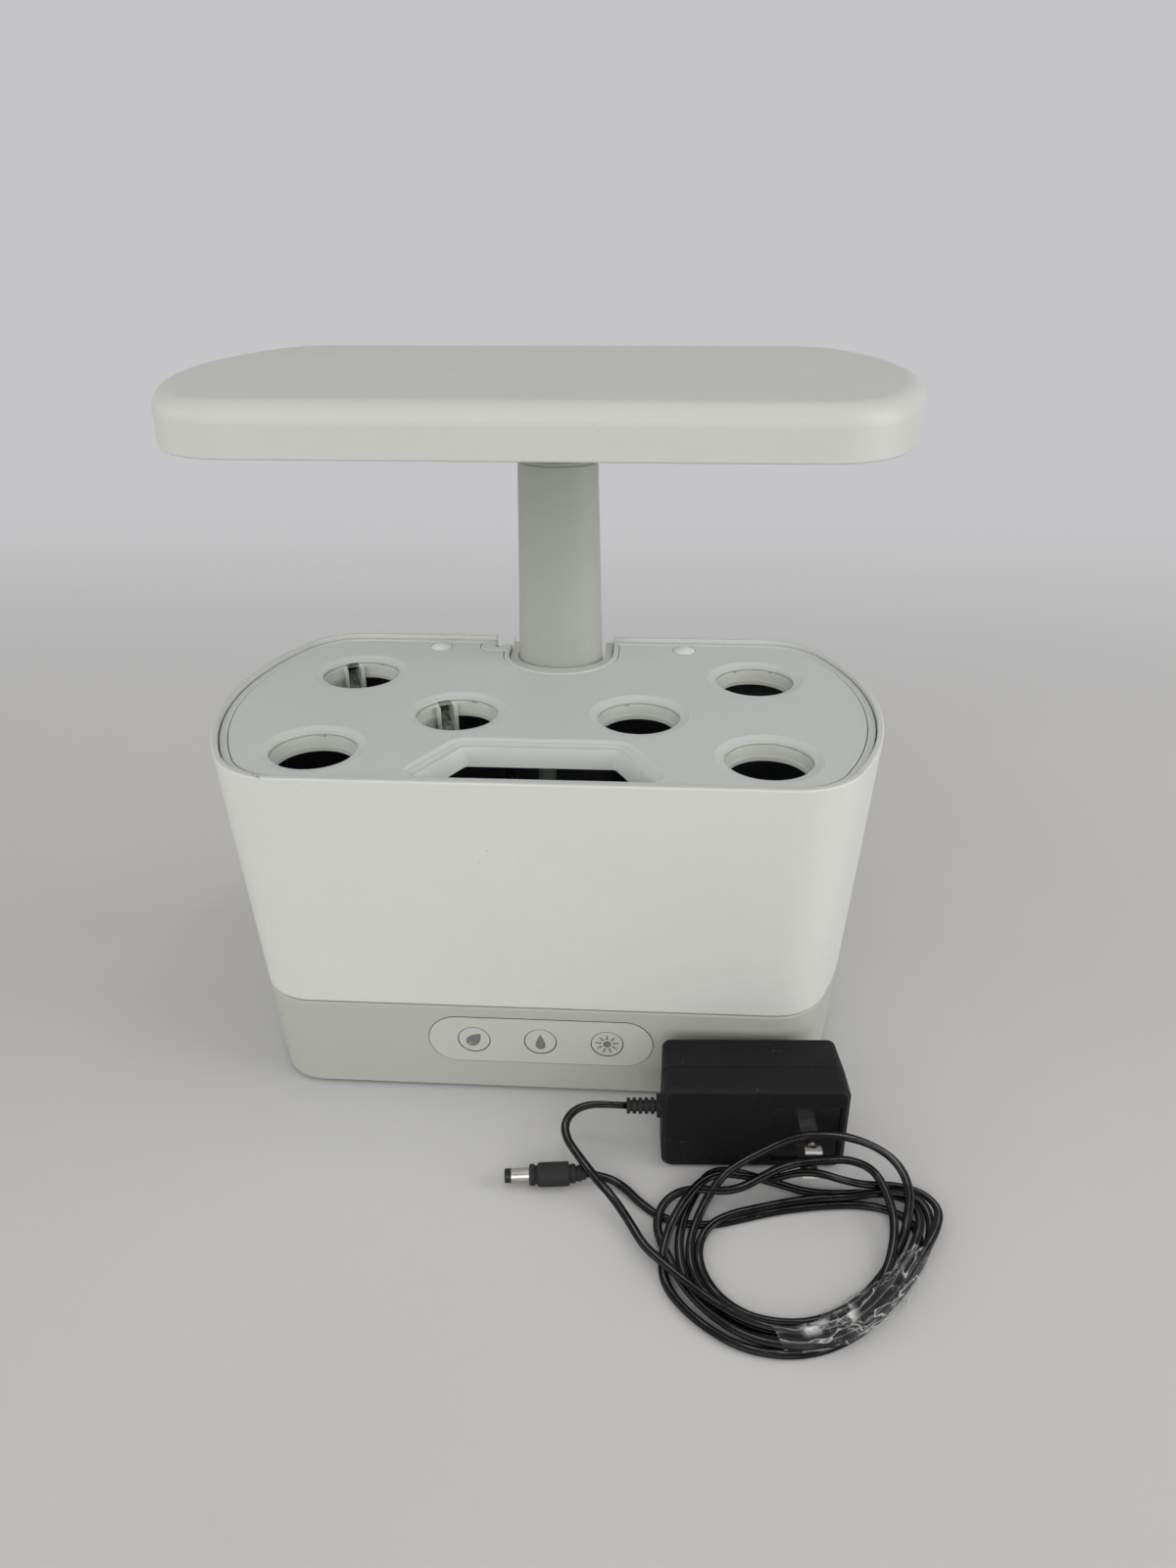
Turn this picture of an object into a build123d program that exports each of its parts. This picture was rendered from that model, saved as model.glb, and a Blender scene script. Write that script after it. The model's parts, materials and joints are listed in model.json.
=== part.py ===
"""Countertop hydroponic garden: a lit hood on a telescopic post over a six-pod water bowl.

Millimetres, +Z up, +X to the right and -Y to the front. The origin is on the surface that
the garden stands on, below the middle of its plan outline.
"""
from build123d import *
import os
from math import acos, atan, atan2, cos, degrees, hypot, pi, radians, sin, sqrt, tan

# ---- plan outline, shared by the hood, the bowl and the base -------------------------------
RIM_HALF_W = 136.6      # middle to the side of the bowl's rim
RIM_HALF_D = 77.5       # middle to the front of the bowl's rim
SIDE_R = 130.6          # bowed side walls
CORNER_R = 30.0         # rounded corners between a side and the front or back
DRAFT = 0.067           # walls lean in by this much per mm below the rim

# ---- heights -------------------------------------------------------------------------------
FOOT_H = 1.5            # the base's skirt stands this far above the surface
BASE_TOP = 46.0
SEAM = 0.5              # shadow line between the base and the casing
RIM_Z = 153.0
DECK_Z = 151.0          # top of the deck plate
POST_TOP = 239.0
HOOD_Z = 266.0          # lowest edge of the hood
HOOD_H = 18.0

# ---- base ----------------------------------------------------------------------------------
BASE_WALL = 2.5
FLOOR_T = 2.5
FLOOR_GAP = 0.3
FOOT_R = 7.0
FOOT_RECESS = 1.0
FOOT_X, FOOT_Y = RIM_HALF_W - 34.6, RIM_HALF_D - 41.5
BOSS_R = 4.0
SCREW_R = 1.3
SCREW_HEAD_R = 2.8
SCREW_HEAD_H = 1.2
SCREW_BITE = 8.0        # length of a floor screw inside its boss
FLOOR_SCREW_X, FLOOR_SCREW_Y = FOOT_X - 14.0, FOOT_Y - 18.0
EDGE_ROUND = 0.8        # small rounds on the moulded edges

# ---- post ----------------------------------------------------------------------------------
POST_Y = RIM_HALF_D - 18.2           # axis of the post
POST_A, POST_B = 19.5, 15.4          # half width and half depth below the deck
POST_TOP_A, POST_TOP_B = 17.45, 14.3
POST_TAPER_Z = 141.0    # the post is straight below this height
POST_BORE_A, POST_BORE_B = 15.2, 12.1
POST_FIT = 0.15
POST_SLEEVE = 2.6       # wall of the base's sleeve round the post
POST_STEP = 9.0         # height at which the post ends inside the base
POST_SCREW_Z = (17.0, 33.0)
BUSH_A, BUSH_B = 13.9, 10.7
BUSH_H = 9.0
BUSH_CAP = 1.4
TUBE_A, TUBE_B = 13.6, 10.4          # inner tube
TUBE_WALL = 1.8
TUBE_FOOT_Z = 120.0
SHOE_H = 14.0
SHOE_FIT = 0.25
LAMP_TRAVEL = 81.0

# ---- hood ----------------------------------------------------------------------------------
HOOD_WALL = 2.2
HOOD_ROUND = 7.0
BEZEL_Z = 268.0
BEZEL_T = 2.0
BEZEL_FIT = 0.3
WINDOW_INSET = 16.0
DIFFUSER_T = 2.0
DIFFUSER_LAP = 2.2
LED_BOARD_W, LED_BOARD_D, LED_BOARD_T = 2 * RIM_HALF_W - 59.2, 2 * RIM_HALF_D - 63.0, 1.6
LED_BOARD_Y = POST_Y - 71.3
LED_BOARD_Z = 274.5
LED_PITCH = 19.0
LED_ROWS, LED_COLUMNS = 5, 11
LED_SIZE, LED_T = 3.5, 0.8
HOOD_BOSS_R = 3.5
HOOD_SCREW_X, HOOD_SCREW_Y = RIM_HALF_W - 24.6, RIM_HALF_D - 37.5
BRACKET_HALF_W, BRACKET_HALF_D, BRACKET_T = 29.0, 15.0, 2.5
BRACKET_Z = 272.6
BRACKET_SCREW_X, BRACKET_SCREW_Y = 24.0, 9.5
TUBE_TOP_Z = 275.8
LAMP_LEAD_R = 2.0

# ---- bowl ----------------------------------------------------------------------------------
CASE_WALL = 2.4
CASE_FLOOR = 2.6
CHANNEL_R = 21.2        # inside of the channel that the post stands in
LIP_GAP = 0.8           # the rim's lip to the post
LIP_T = 3.0
LIP_TOP = DECK_Z - 1.2  # the lip lies under the level of the deck's ring
TUB_GAP = 1.0
TUB_WALL = 2.0
TUB_TOP = 139.0
TUB_FLANGE = 2.5

# ---- deck ----------------------------------------------------------------------------------
RING_GAP = 0.5
RING_W = 3.0
RING_TOP = DECK_Z + 0.2
RING_LEDGE_W = 3.0
RING_LEDGE_T = 2.6
LIFT_FIT = 0.3          # running gap under a part that lifts off
DECK_GAP = 0.4
DECK_T = 2.0
LOBE_X, LOBE_Y = -38.5, RIM_HALF_D - 16.0         # left and front edges of the ring's lobe beside the post
LOBE_R = 5.0
POCKET_X = (-32.0, -22.5)            # pocket for the pump's plug
POCKET_Y = RIM_HALF_D - 7.9
POCKET_DEEP = 9.0
PUMP_LEAD_X = -29.8
TROUGH_Y = POST_Y - 43.8     # the trough runs over the pump, between the pods
POD_SIDE_X = RIM_HALF_W - 48.9
POD_MIDDLE_Y = TROUGH_Y - 25.1
POD_XY = ((POD_SIDE_X, 30.45 - RIM_HALF_D), (37.6, POD_MIDDLE_Y), (POD_SIDE_X, RIM_HALF_D - 45.9))
POD_HOLE_R = 17.1
POD_DISH_R = 20.7
POD_DISH_DEEP = 0.9
POD_BORE_R = 16.3
POD_COLLAR_WALL = 1.8
POD_COLLAR_H = 7.0
POD_STEP_R = 15.7
POD_STEP_H = 1.8
POD_GROOVE = 0.6
POD_FLANGE_R = 20.0
POD_FLANGE_T = 1.8
SLOT_W = 6.0            # opening in the two left collars where the water runs in
SLOT_ANGLE = 118.0
CHUTE_WALL = 1.6
CHUTE_IN, CHUTE_OUT = 13.2, 24.0     # reach of the chute from the middle of its pod
CHUTE_DROP = 7.0        # depth of the chute below its collar
CHUTE_DIP = 1.4         # the chute's walls end this far under the collar's top
APRON_TURN = (12.0, 45.0, 80.0)      # how far round from the chute its apron reaches
PIP_X, PIP_Y = 57.2, RIM_HALF_D - 12.3
PIP_R, PIP_H = 5.0, 1.5
PIP_GROOVE, PIP_SUNK = 0.45, 0.35     # width and depth of the groove round a pip
PIP_PIN_R = 2.0
PORT_BACK_Y, PORT_FRONT_Y = POD_MIDDLE_Y - 25.1, 7.8 - RIM_HALF_D
PORT_BACK_HALF = 33.9
PORT_SPLAY = 0.563      # half width gained per mm towards the front
PORT_BACK_R, PORT_FRONT_R = 10.0, 7.0
PORT_BEVEL = 1.9
PORT_LIP = 6.0
PORT_FRONT_CUT = 3.6     # the lip is narrower than this by the front edge, where the rim is near
PORT_FUNNEL = 8.0
PORT_WALL = 1.6
PORT_DEEP = 9.0
TROUGH_HALF_L, TROUGH_W, TROUGH_H, TROUGH_WALL = POD_SIDE_X - 25.7, 9.0, 8.0, 1.4

# ---- pump ----------------------------------------------------------------------------------
PUMP_X, PUMP_Y = -9.0, TROUGH_Y
PUMP_R = 14.5
PUMP_WALL = 1.8
PUMP_H = 44.0
PUMP_FOOT = 9.0         # height of the strainer below the motor
ROTOR_R, ROTOR_H = 6.0, 16.0
ROTOR_SHAFT_R = 1.25
ROTOR_FIT = 0.05
RISER_R, RISER_WALL = 4.0, 1.0
PUMP_LEAD_R = 1.8
FOAM_T = 5.0

# ---- control panel -------------------------------------------------------------------------
PANEL_W, PANEL_H = 93.0, 24.0
PANEL_Z = 28.4
PANEL_T = 1.5
PANEL_PROUD = 0.25
PANEL_FIT = 0.2
PANEL_LEDGE = 3.4
BUTTON_PITCH = 27.7
BUTTON_R = 6.55
BUTTON_FIT = 0.3
BUTTON_FLANGE_R = 8.0
BUTTON_FLANGE_T = 1.0
BUTTON_TRAVEL = 0.8
BUTTON_STEM_R, BUTTON_STEM_L = 2.4, 1.9
SWITCH_SIZE, SWITCH_T = 6.0, 3.4
BOARD_W, BOARD_H, BOARD_T = 104.0, 18.0, 1.6
BOARD_POST_X = 47.5
BOARD_POST_R = 3.0
JACK_X, JACK_Z = 58.0, 16.0
JACK_NOSE_R, JACK_BORE_R, JACK_PIN_R = 4.0, 2.85, 1.0
JACK_BODY_W, JACK_BODY_H, JACK_BODY_L = 9.6, 12.8, 12.0
JACK_BORE_DEEP = 9.5
POWER_W, POWER_D = 46.0, 34.0

# ---- mains adapter, turned a little on the surface in front of the base --------------------
ADAPTER_W, ADAPTER_H = 71.4, 40.0
ADAPTER_FRONT_D, ADAPTER_BACK_D = 13.0, 18.0
ADAPTER_X, ADAPTER_Y, ADAPTER_YAW = 85.8, -93.03, 2.9
ADAPTER_R = 4.5
ADAPTER_WALL = 2.0
ADAPTER_CHAMFER = 1.6
ADAPTER_BACK_INSET = 1.0
CARRIER_X, CARRIER_Z = 19.6, -2.2    # centre of the blade carrier from the middle of the adapter
CARRIER_W, CARRIER_H, CARRIER_T = 25.6, 27.0, 4.0
CARRIER_SUNK = 1.2
BLADE_W, BLADE_T, BLADE_PITCH = 6.35, 1.5, 12.7
BLADE_OUT, BLADE_IN = 17.5, 9.0
BLADE_HOLE_R, BLADE_HOLE_IN = 1.55, 3.6
RELIEF_L = 13.5
RELIEF_R = 3.2
RELIEF_RIBS = 5
RELIEF_GROOVE = 0.9
RELIEF_COLLAR_R, RELIEF_COLLAR_L = 4.6, 1.6

# ---- cord and its plug ---------------------------------------------------------------------
CORD_R = 1.7
COIL_X, COIL_Y = 100.6, -148.4
COIL_OUT_A, COIL_OUT_B = 52.0, 41.4
COIL_IN_A, COIL_IN_B = 30.5, 23.6
COIL_H = 10.2
COIL_ROUND = 3.4
PLUG_TIP = (-9.5, -119.8)
PLUG_YAW = 5.8
PLUG_R = 4.6
PLUG_BARREL_R, PLUG_BARREL_L = 2.75, 9.5
PLUG_TIP_L = 2.6
PLUG_BODY_L = 22.0
PLUG_HOLE_R = 1.05

CORD_START = [
    (24.0, -95.7, 19.2), (14.8, -96.4, 15.2), (11.4, -101.2, 9.4), (14.6, -107.8, 7.2),
    (20.2, -114.2, 10.4), (26.0, -121.2, 10.4), (31.4, -129.2, 4.9), (37.8, -138.8, 1.7),
    (44.6, -148.4, 1.7), (54.5, -156.5, 1.7)]
CORD_END = [(30.0, -115.8, 3.3), (37.0, -119.6, 1.7), (42.8, -127.0, 1.7), (50.6, -133.6, 1.7),
            (62.0, -136.0, 1.7)]

# ---- sizes worked out from the driving ones ------------------------------------------------
SIDE_C = RIM_HALF_W - SIDE_R
CORNER_CY = RIM_HALF_D - CORNER_R
CORNER_CX = SIDE_C + sqrt((SIDE_R - CORNER_R) ** 2 - CORNER_CY ** 2)
CASE_Z = BASE_TOP + SEAM
HOOD_TOP = HOOD_Z + HOOD_H
DECK_LOW = DECK_Z - DECK_T
CHANNEL_OUT = CHANNEL_R + CASE_WALL
TUB_INSET = CASE_WALL + TUB_GAP
TUB_LOW = CASE_Z + CASE_FLOOR
TUB_CHANNEL = CHANNEL_OUT + TUB_GAP
RING_IN = CASE_WALL + RING_GAP + RING_W
RING_NOTCH = CHANNEL_OUT + RING_GAP
RING_NOTCH_OUT = RING_NOTCH + RING_W - 0.5
DECK_INSET = RING_IN + DECK_GAP
DECK_NOTCH = RING_NOTCH_OUT + DECK_GAP
COLLAR_TOP = DECK_LOW
POST_Z_LOW = POST_STEP
MARGIN = 5.0            # overshoot of a cutting solid past the face that it opens

os.makedirs("parts", exist_ok=True)
SOLIDS = {}


def save(node, shape):
    """Write one node's solids to its STEP file."""
    shape.label = node
    SOLIDS[node] = shape
    export_step(shape, f"parts/{node}.step")


def outline(inset=0.0):
    """The shared plan outline as a face, moved in by inset all round."""
    half_d, side_r, corner_r = RIM_HALF_D - inset, SIDE_R - inset, CORNER_R - inset
    ux, uy = (CORNER_CX - SIDE_C) / (SIDE_R - CORNER_R), CORNER_CY / (SIDE_R - CORNER_R)
    tx, ty = SIDE_C + side_r * ux, side_r * uy
    mid = (pi / 2 + atan2(uy, ux)) / 2
    mx, my = CORNER_CX + corner_r * cos(mid), CORNER_CY + corner_r * sin(mid)
    half = RIM_HALF_W - inset
    edges = [
        Line((-CORNER_CX, -half_d), (CORNER_CX, -half_d)),
        ThreePointArc((CORNER_CX, -half_d), (mx, -my), (tx, -ty)),
        ThreePointArc((tx, -ty), (half, 0), (tx, ty)),
        ThreePointArc((tx, ty), (mx, my), (CORNER_CX, half_d)),
        Line((CORNER_CX, half_d), (-CORNER_CX, half_d)),
        ThreePointArc((-CORNER_CX, half_d), (-mx, my), (-tx, ty)),
        ThreePointArc((-tx, ty), (-half, 0), (-tx, -ty)),
        ThreePointArc((-tx, -ty), (-mx, -my), (-CORNER_CX, -half_d)),
    ]
    return make_face(edges)


def slab(face, z0, z1):
    """A flat face on the XY plane as a prism between two heights."""
    return extrude(Pos(0, 0, z0) * face, amount=z1 - z0, dir=(0, 0, 1))


def lean(z):
    """How far the leaning walls stand in from the rim's outline at a height."""
    return DRAFT * (RIM_Z - z)


def drafted(z0, z1, inset=0.0):
    """A body with the leaning outline between two heights, inset from the outer wall."""
    low = Pos(0, 0, z0) * outline(inset + lean(z0))
    high = Pos(0, 0, z1) * outline(inset + lean(z1))
    return loft([low, high], ruled=True)


def prism(x0, x1, y0, y1, z0, z1):
    """A plain block between six planes."""
    block = Box(x1 - x0, y1 - y0, z1 - z0)
    return Pos((x0 + x1) / 2, (y0 + y1) / 2, (z0 + z1) / 2) * block


def rod(x, y, z0, z1, radius):
    """An upright cylinder between two heights."""
    return Pos(x, y, (z0 + z1) / 2) * Cylinder(radius, z1 - z0)


def oval(a, b, z0, z1, a1=None, b1=None):
    """An upright oval body on the post's axis, tapering to a1, b1 when they are given."""
    low = Pos(0, POST_Y, z0) * Ellipse(a, b)
    if a1 is None:
        return extrude(low, amount=z1 - z0, dir=(0, 0, 1))
    return loft([low, Pos(0, POST_Y, z1) * Ellipse(a1, b1)], ruled=True)


def notch(radius, z0, z1):
    """The room round the post: a half round that is open towards the back."""
    back = RIM_HALF_D + MARGIN
    round_end = rod(0, POST_Y, z0, z1, radius)
    return round_end + prism(-radius, radius, POST_Y, back, z0, z1)


def at_height(shape, z, tol=0.05):
    """Edges of a shape that lie flat at a height."""
    return shape.edges().filter_by_position(Axis.Z, z - tol, z + tol)


def mirrored_x(points):
    """Each point and its twin on the other side of the middle."""
    return [(side * x, y) for x, y in points for side in (-1, 1)]


def four(x, y):
    """Four places in the corners of a rectangle."""
    return [(sx * x, sy * y) for sx in (-1, 1) for sy in (-1, 1)]


def post_half(z):
    """The post's half width and half depth at a height."""
    share = max(0.0, (z - POST_TAPER_Z) / (POST_TOP - POST_TAPER_Z))
    return POST_A + (POST_TOP_A - POST_A) * share, POST_B + (POST_TOP_B - POST_B) * share


# ---- base ----------------------------------------------------------------------------------
PANEL_Y = -(RIM_HALF_D - lean(PANEL_Z))
PANEL_PLANE = Plane(origin=(0, PANEL_Y, PANEL_Z), x_dir=(1, 0, 0), z_dir=(0, -1, -DRAFT))
BOARD_BACK = PANEL_T + 0.2 + BUTTON_FLANGE_T + BUTTON_STEM_L + BUTTON_TRAVEL + 0.1
BOARD_FACE = BOARD_BACK + SWITCH_T
BUTTON_X = [-BUTTON_PITCH, 0.0, BUTTON_PITCH]
FLOOR_TOP = FOOT_H + FLOOR_T


def pill(width, height, z0, z1):
    """A pill-shaped plate on the panel's plane, z outwards."""
    return PANEL_PLANE * extrude(Pos(0, 0, z0) * SlotOverall(width, height), amount=z1 - z0)


def panel_rod(x, y, z0, z1, radius):
    """A round boss, stem or hole square to the panel."""
    return PANEL_PLANE * (Pos(x, y, (z0 + z1) / 2) * Cylinder(radius, z1 - z0))


def panel_block(x, y, width, height, z0, z1):
    """A block square to the panel."""
    return PANEL_PLANE * (Pos(x, y, (z0 + z1) / 2) * Box(width, height, z1 - z0))


def screw(x, y, z_head, up, head_r, head_h, shank_r, length):
    """A pan-head screw whose head stands below z_head and whose shank goes up, or the reverse."""
    head = rod(x, y, min(z_head, z_head - up * head_h), max(z_head, z_head - up * head_h), head_r)
    tip = z_head + up * length
    return head + rod(x, y, min(z_head, tip), max(z_head, tip), shank_r)


SLEEVE_A = POST_A + POST_FIT + POST_SLEEVE
SLEEVE_B = POST_B + POST_FIT + POST_SLEEVE


def base_shell():
    outer = drafted(FOOT_H, BASE_TOP) + oval(SLEEVE_A, SLEEVE_B, FOOT_H, BASE_TOP)
    outer = fillet(at_height(outer, BASE_TOP), EDGE_ROUND)
    outer = fillet(at_height(outer, FOOT_H), EDGE_ROUND)
    cavity = drafted(FOOT_H - MARGIN, BASE_TOP - BASE_WALL, BASE_WALL)
    sleeve = oval(SLEEVE_A, SLEEVE_B, FLOOR_TOP, BASE_TOP)
    bosses = [rod(x, y, FLOOR_TOP, BASE_TOP, BOSS_R) for x, y in four(FLOOR_SCREW_X, FLOOR_SCREW_Y)]
    holes = [rod(x, y, FLOOR_TOP - MARGIN, FLOOR_TOP + SCREW_BITE, SCREW_R)
             for x, y in four(FLOOR_SCREW_X, FLOOR_SCREW_Y)]
    shell = (outer - cavity) + sleeve + bosses
    shell -= holes
    post_room = oval(POST_A + POST_FIT, POST_B + POST_FIT, POST_STEP, BASE_TOP + MARGIN)
    lead_room = oval(POST_BORE_A, POST_BORE_B, FLOOR_TOP - MARGIN, BASE_TOP)
    lead_way = prism(-2 * LAMP_LEAD_R, 2 * LAMP_LEAD_R, POST_Y - SLEEVE_B - MARGIN, POST_Y,
                     FLOOR_TOP - MARGIN, POST_STEP)
    shell -= [post_room, lead_room, lead_way]
    for z in POST_SCREW_Z:
        shell -= post_screw(z, 0.0)
    shell -= pill(PANEL_W + 2 * PANEL_FIT, PANEL_H + 2 * PANEL_FIT, -PANEL_T, MARGIN)
    opening = pill(PANEL_W - 2 * PANEL_LEDGE, PANEL_H - 2 * PANEL_LEDGE, -PANEL_T - MARGIN, 0)
    shell -= opening
    for side in (-1, 1):
        post = panel_rod(side * BOARD_POST_X, 0, -BOARD_FACE, -BASE_WALL + 0.5, BOARD_POST_R)
        shell += post
        shell -= panel_rod(side * BOARD_POST_X, 0, -BOARD_FACE - 1, -BOARD_FACE + 4.5, 1.0)
    jack_hole = Pos(JACK_X, RIM_HALF_D, JACK_Z) * Rot(90, 0, 0) * Cylinder(JACK_NOSE_R + 0.15, 50)
    return shell - jack_hole


def post_screw(z, clearance):
    """A screw from the back through the sleeve into the post's wall."""
    head_y = POST_Y + SLEEVE_B
    head = Pos(0, head_y - 0.7, z) * Rot(90, 0, 0) * Cylinder(SCREW_HEAD_R + clearance, 1.4)
    shank_l = POST_SLEEVE + POST_FIT + 2.4
    shank = Pos(0, head_y - shank_l / 2, z) * Rot(90, 0, 0)
    return head + shank * Cylinder(SCREW_R + clearance, shank_l)


def base_floor():
    plate = slab(outline(lean(FOOT_H) + BASE_WALL + FLOOR_GAP), FOOT_H, FLOOR_TOP)
    plate -= oval(SLEEVE_A + FLOOR_GAP, SLEEVE_B + FLOOR_GAP, FOOT_H - 1, FLOOR_TOP + 1)
    for x, y in four(FLOOR_SCREW_X, FLOOR_SCREW_Y):
        plate -= rod(x, y, FOOT_H - 1, FLOOR_TOP + 1, SCREW_R + 0.1)
        plate -= rod(x, y, FOOT_H - 1, FOOT_H + SCREW_HEAD_H, SCREW_HEAD_R + 0.2)
    for x, y in four(FOOT_X, FOOT_Y):
        plate -= rod(x, y, FOOT_H - 1, FOOT_H + FOOT_RECESS, FOOT_R + 0.1)
    for dx in (-POWER_W / 2 + 4, POWER_W / 2 - 4):
        plate += rod(POWER_X + dx, POWER_Y, FLOOR_TOP, POWER_Z, 3.0)
        plate -= rod(POWER_X + dx, POWER_Y, POWER_Z - 3.5, POWER_Z + 1, 0.9)
    return plate


POWER_Y = RIM_HALF_D - 35.5
POWER_X = JACK_X
POWER_Z = JACK_Z - JACK_BODY_H / 2 - BOARD_T
JACK_WALL_Y = RIM_HALF_D - lean(JACK_Z)


def feet():
    return [fillet(at_height(rod(x, y, 0, FOOT_H + FOOT_RECESS, FOOT_R), 0), 0.5)
            for x, y in four(FOOT_X, FOOT_Y)]


def floor_screws():
    return [screw(x, y, FOOT_H + SCREW_HEAD_H, 1, SCREW_HEAD_R, SCREW_HEAD_H - 0.3,
                  SCREW_R, FLOOR_T - SCREW_HEAD_H + SCREW_BITE - 0.5)
            for x, y in four(FLOOR_SCREW_X, FLOOR_SCREW_Y)]


def panel_cover():
    cover = pill(PANEL_W, PANEL_H, -PANEL_T, PANEL_PROUD)
    for x in BUTTON_X:
        cover -= panel_rod(x, 0, -PANEL_T - 1, PANEL_PROUD + 1, BUTTON_R + BUTTON_FIT)
    return cover


def button(x):
    cap = Cylinder(BUTTON_R, PANEL_T + PANEL_PROUD + 0.2)
    cap = fillet(cap.edges().group_by(Axis.Z)[-1], 0.4)
    cap = PANEL_PLANE * (Pos(x, 0, (PANEL_PROUD - PANEL_T - 0.2) / 2) * cap)
    flange_top = -PANEL_T - 0.2
    flange = panel_rod(x, 0, flange_top - BUTTON_FLANGE_T, flange_top, BUTTON_FLANGE_R)
    stem_top = flange_top - BUTTON_FLANGE_T
    return cap + flange + panel_rod(x, 0, stem_top - BUTTON_STEM_L, stem_top, BUTTON_STEM_R)


def control_board():
    board = panel_block(0, 0, BOARD_W, BOARD_H, -BOARD_FACE - BOARD_T, -BOARD_FACE)
    for side in (-1, 1):
        board -= panel_rod(side * BOARD_POST_X, 0, -BOARD_FACE - BOARD_T - 1, -BOARD_FACE + 1, 1.15)
    return board + panel_block(18, -4, 9, 6, -BOARD_FACE - BOARD_T - 2, -BOARD_FACE - BOARD_T)


def tact_switches():
    return [panel_block(x, 0, SWITCH_SIZE, SWITCH_SIZE, -BOARD_FACE, -BOARD_BACK) for x in BUTTON_X]


def status_leds():
    return [panel_block(x + 6, 0, 1.6, 3.2, -BOARD_FACE, -BOARD_FACE + 0.8) for x in BUTTON_X[:2]]


def board_screws():
    screws = []
    for side in (-1, 1):
        x = side * BOARD_POST_X
        head = panel_rod(x, 0, -BOARD_FACE - BOARD_T - 1.2, -BOARD_FACE - BOARD_T, 2.1)
        screws.append(head + panel_rod(x, 0, -BOARD_FACE - BOARD_T, -BOARD_FACE + 4.0, 0.95))
    for dx in (-POWER_W / 2 + 4, POWER_W / 2 - 4):
        screws.append(screw(POWER_X + dx, POWER_Y, POWER_Z + BOARD_T, -1, 2.1, 1.2, 0.85, BOARD_T + 3))
    return screws


def dc_jack():
    y1 = JACK_WALL_Y - 0.2
    nose_l = BASE_WALL + 1.0
    nose = Pos(JACK_X, y1 - nose_l / 2, JACK_Z) * Rot(90, 0, 0) * Cylinder(JACK_NOSE_R, nose_l)
    y0 = y1 - nose_l
    body = prism(JACK_X - JACK_BODY_W / 2, JACK_X + JACK_BODY_W / 2, y0 - JACK_BODY_L, y0,
                 JACK_Z - JACK_BODY_H / 2, JACK_Z + JACK_BODY_H / 2 - 1.5)
    bore = Pos(JACK_X, y1 - JACK_BORE_DEEP / 2 + 0.5, JACK_Z) * Rot(90, 0, 0)
    pin_l = JACK_BORE_DEEP - 1.0
    pin = Pos(JACK_X, y1 - JACK_BORE_DEEP + pin_l / 2, JACK_Z) * Rot(90, 0, 0)
    socket = (nose + body) - bore * Cylinder(JACK_BORE_R, JACK_BORE_DEEP + 1.0)
    return socket + pin * Cylinder(JACK_PIN_R, pin_l)


def power_board():
    board = prism(POWER_X - POWER_W / 2, POWER_X + POWER_W / 2, POWER_Y - POWER_D / 2,
                  POWER_Y + POWER_D / 2 + 2, POWER_Z, POWER_Z + BOARD_T)
    for dx in (-POWER_W / 2 + 4, POWER_W / 2 - 4):
        board -= rod(POWER_X + dx, POWER_Y, POWER_Z - 1, POWER_Z + BOARD_T + 1, 1.0)
    top = POWER_Z + BOARD_T
    board += rod(POWER_X - 10, POWER_Y - 8, top, top + 12, 4.0)
    return board + prism(POWER_X + 2, POWER_X + 12, POWER_Y - 14, POWER_Y - 4, top, top + 7)


def lead(points, radius, end_turn=6.0):
    """A round lead along straight runs with tangent arcs at their corners."""
    path = Wire(FilletPolyline(*points, radius=end_turn).edges())
    start = Plane(origin=path @ 0, z_dir=path % 0)
    return sweep(start * Circle(radius), path=path)


def base_wiring():
    z = POWER_Z + BOARD_T + LAMP_LEAD_R + 0.02
    low = FLOOR_TOP + 0.3 + LAMP_LEAD_R
    row = POWER_Y - POWER_D / 2 + 5
    post_lead = lead([(POWER_X - 16, row, z), (POWER_X - 32, row, z), (10, row + 4, low),
                      (0, row + 12, low), (0, POST_Y, low), (0, POST_Y, POST_STEP + 70)],
                     LAMP_LEAD_R, 4.0)
    board_y = PANEL_Y + BOARD_FACE + BOARD_T + LAMP_LEAD_R + 1.2
    x = POWER_X - 2.5
    front = lead([(30, board_y, PANEL_Z - 4), (30, board_y + 16, PANEL_Z - 4),
                  (x, board_y + 30, low), (x, row - 22, low), (x, row - 8, z), (x, row, z)],
                 LAMP_LEAD_R, 4.0)
    return [post_lead, front]


# ---- post ----------------------------------------------------------------------------------
def outer_tube():
    low = oval(POST_A, POST_B, POST_Z_LOW, POST_TAPER_Z)
    high = oval(POST_A, POST_B, POST_TAPER_Z, POST_TOP, POST_TOP_A, POST_TOP_B)
    tube = low + high
    tube = fillet(at_height(tube, POST_TOP), EDGE_ROUND)
    tube -= oval(POST_BORE_A, POST_BORE_B, POST_Z_LOW - 1, POST_TOP + 1)
    for z in POST_SCREW_Z:
        tube -= post_screw(z, 0.0)
    return tube


def post_bush():
    inner_low = POST_TOP - BUSH_H
    ring = oval(POST_BORE_A - 0.05, POST_BORE_B - 0.05, inner_low, POST_TOP)
    cap = oval(POST_BORE_A + 1.0, POST_BORE_B + 1.0, POST_TOP, POST_TOP + BUSH_CAP)
    cap = fillet(at_height(cap, POST_TOP + BUSH_CAP), 0.5)
    return (ring + cap) - oval(BUSH_A, BUSH_B, inner_low - 1, POST_TOP + BUSH_CAP + 1)


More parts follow.
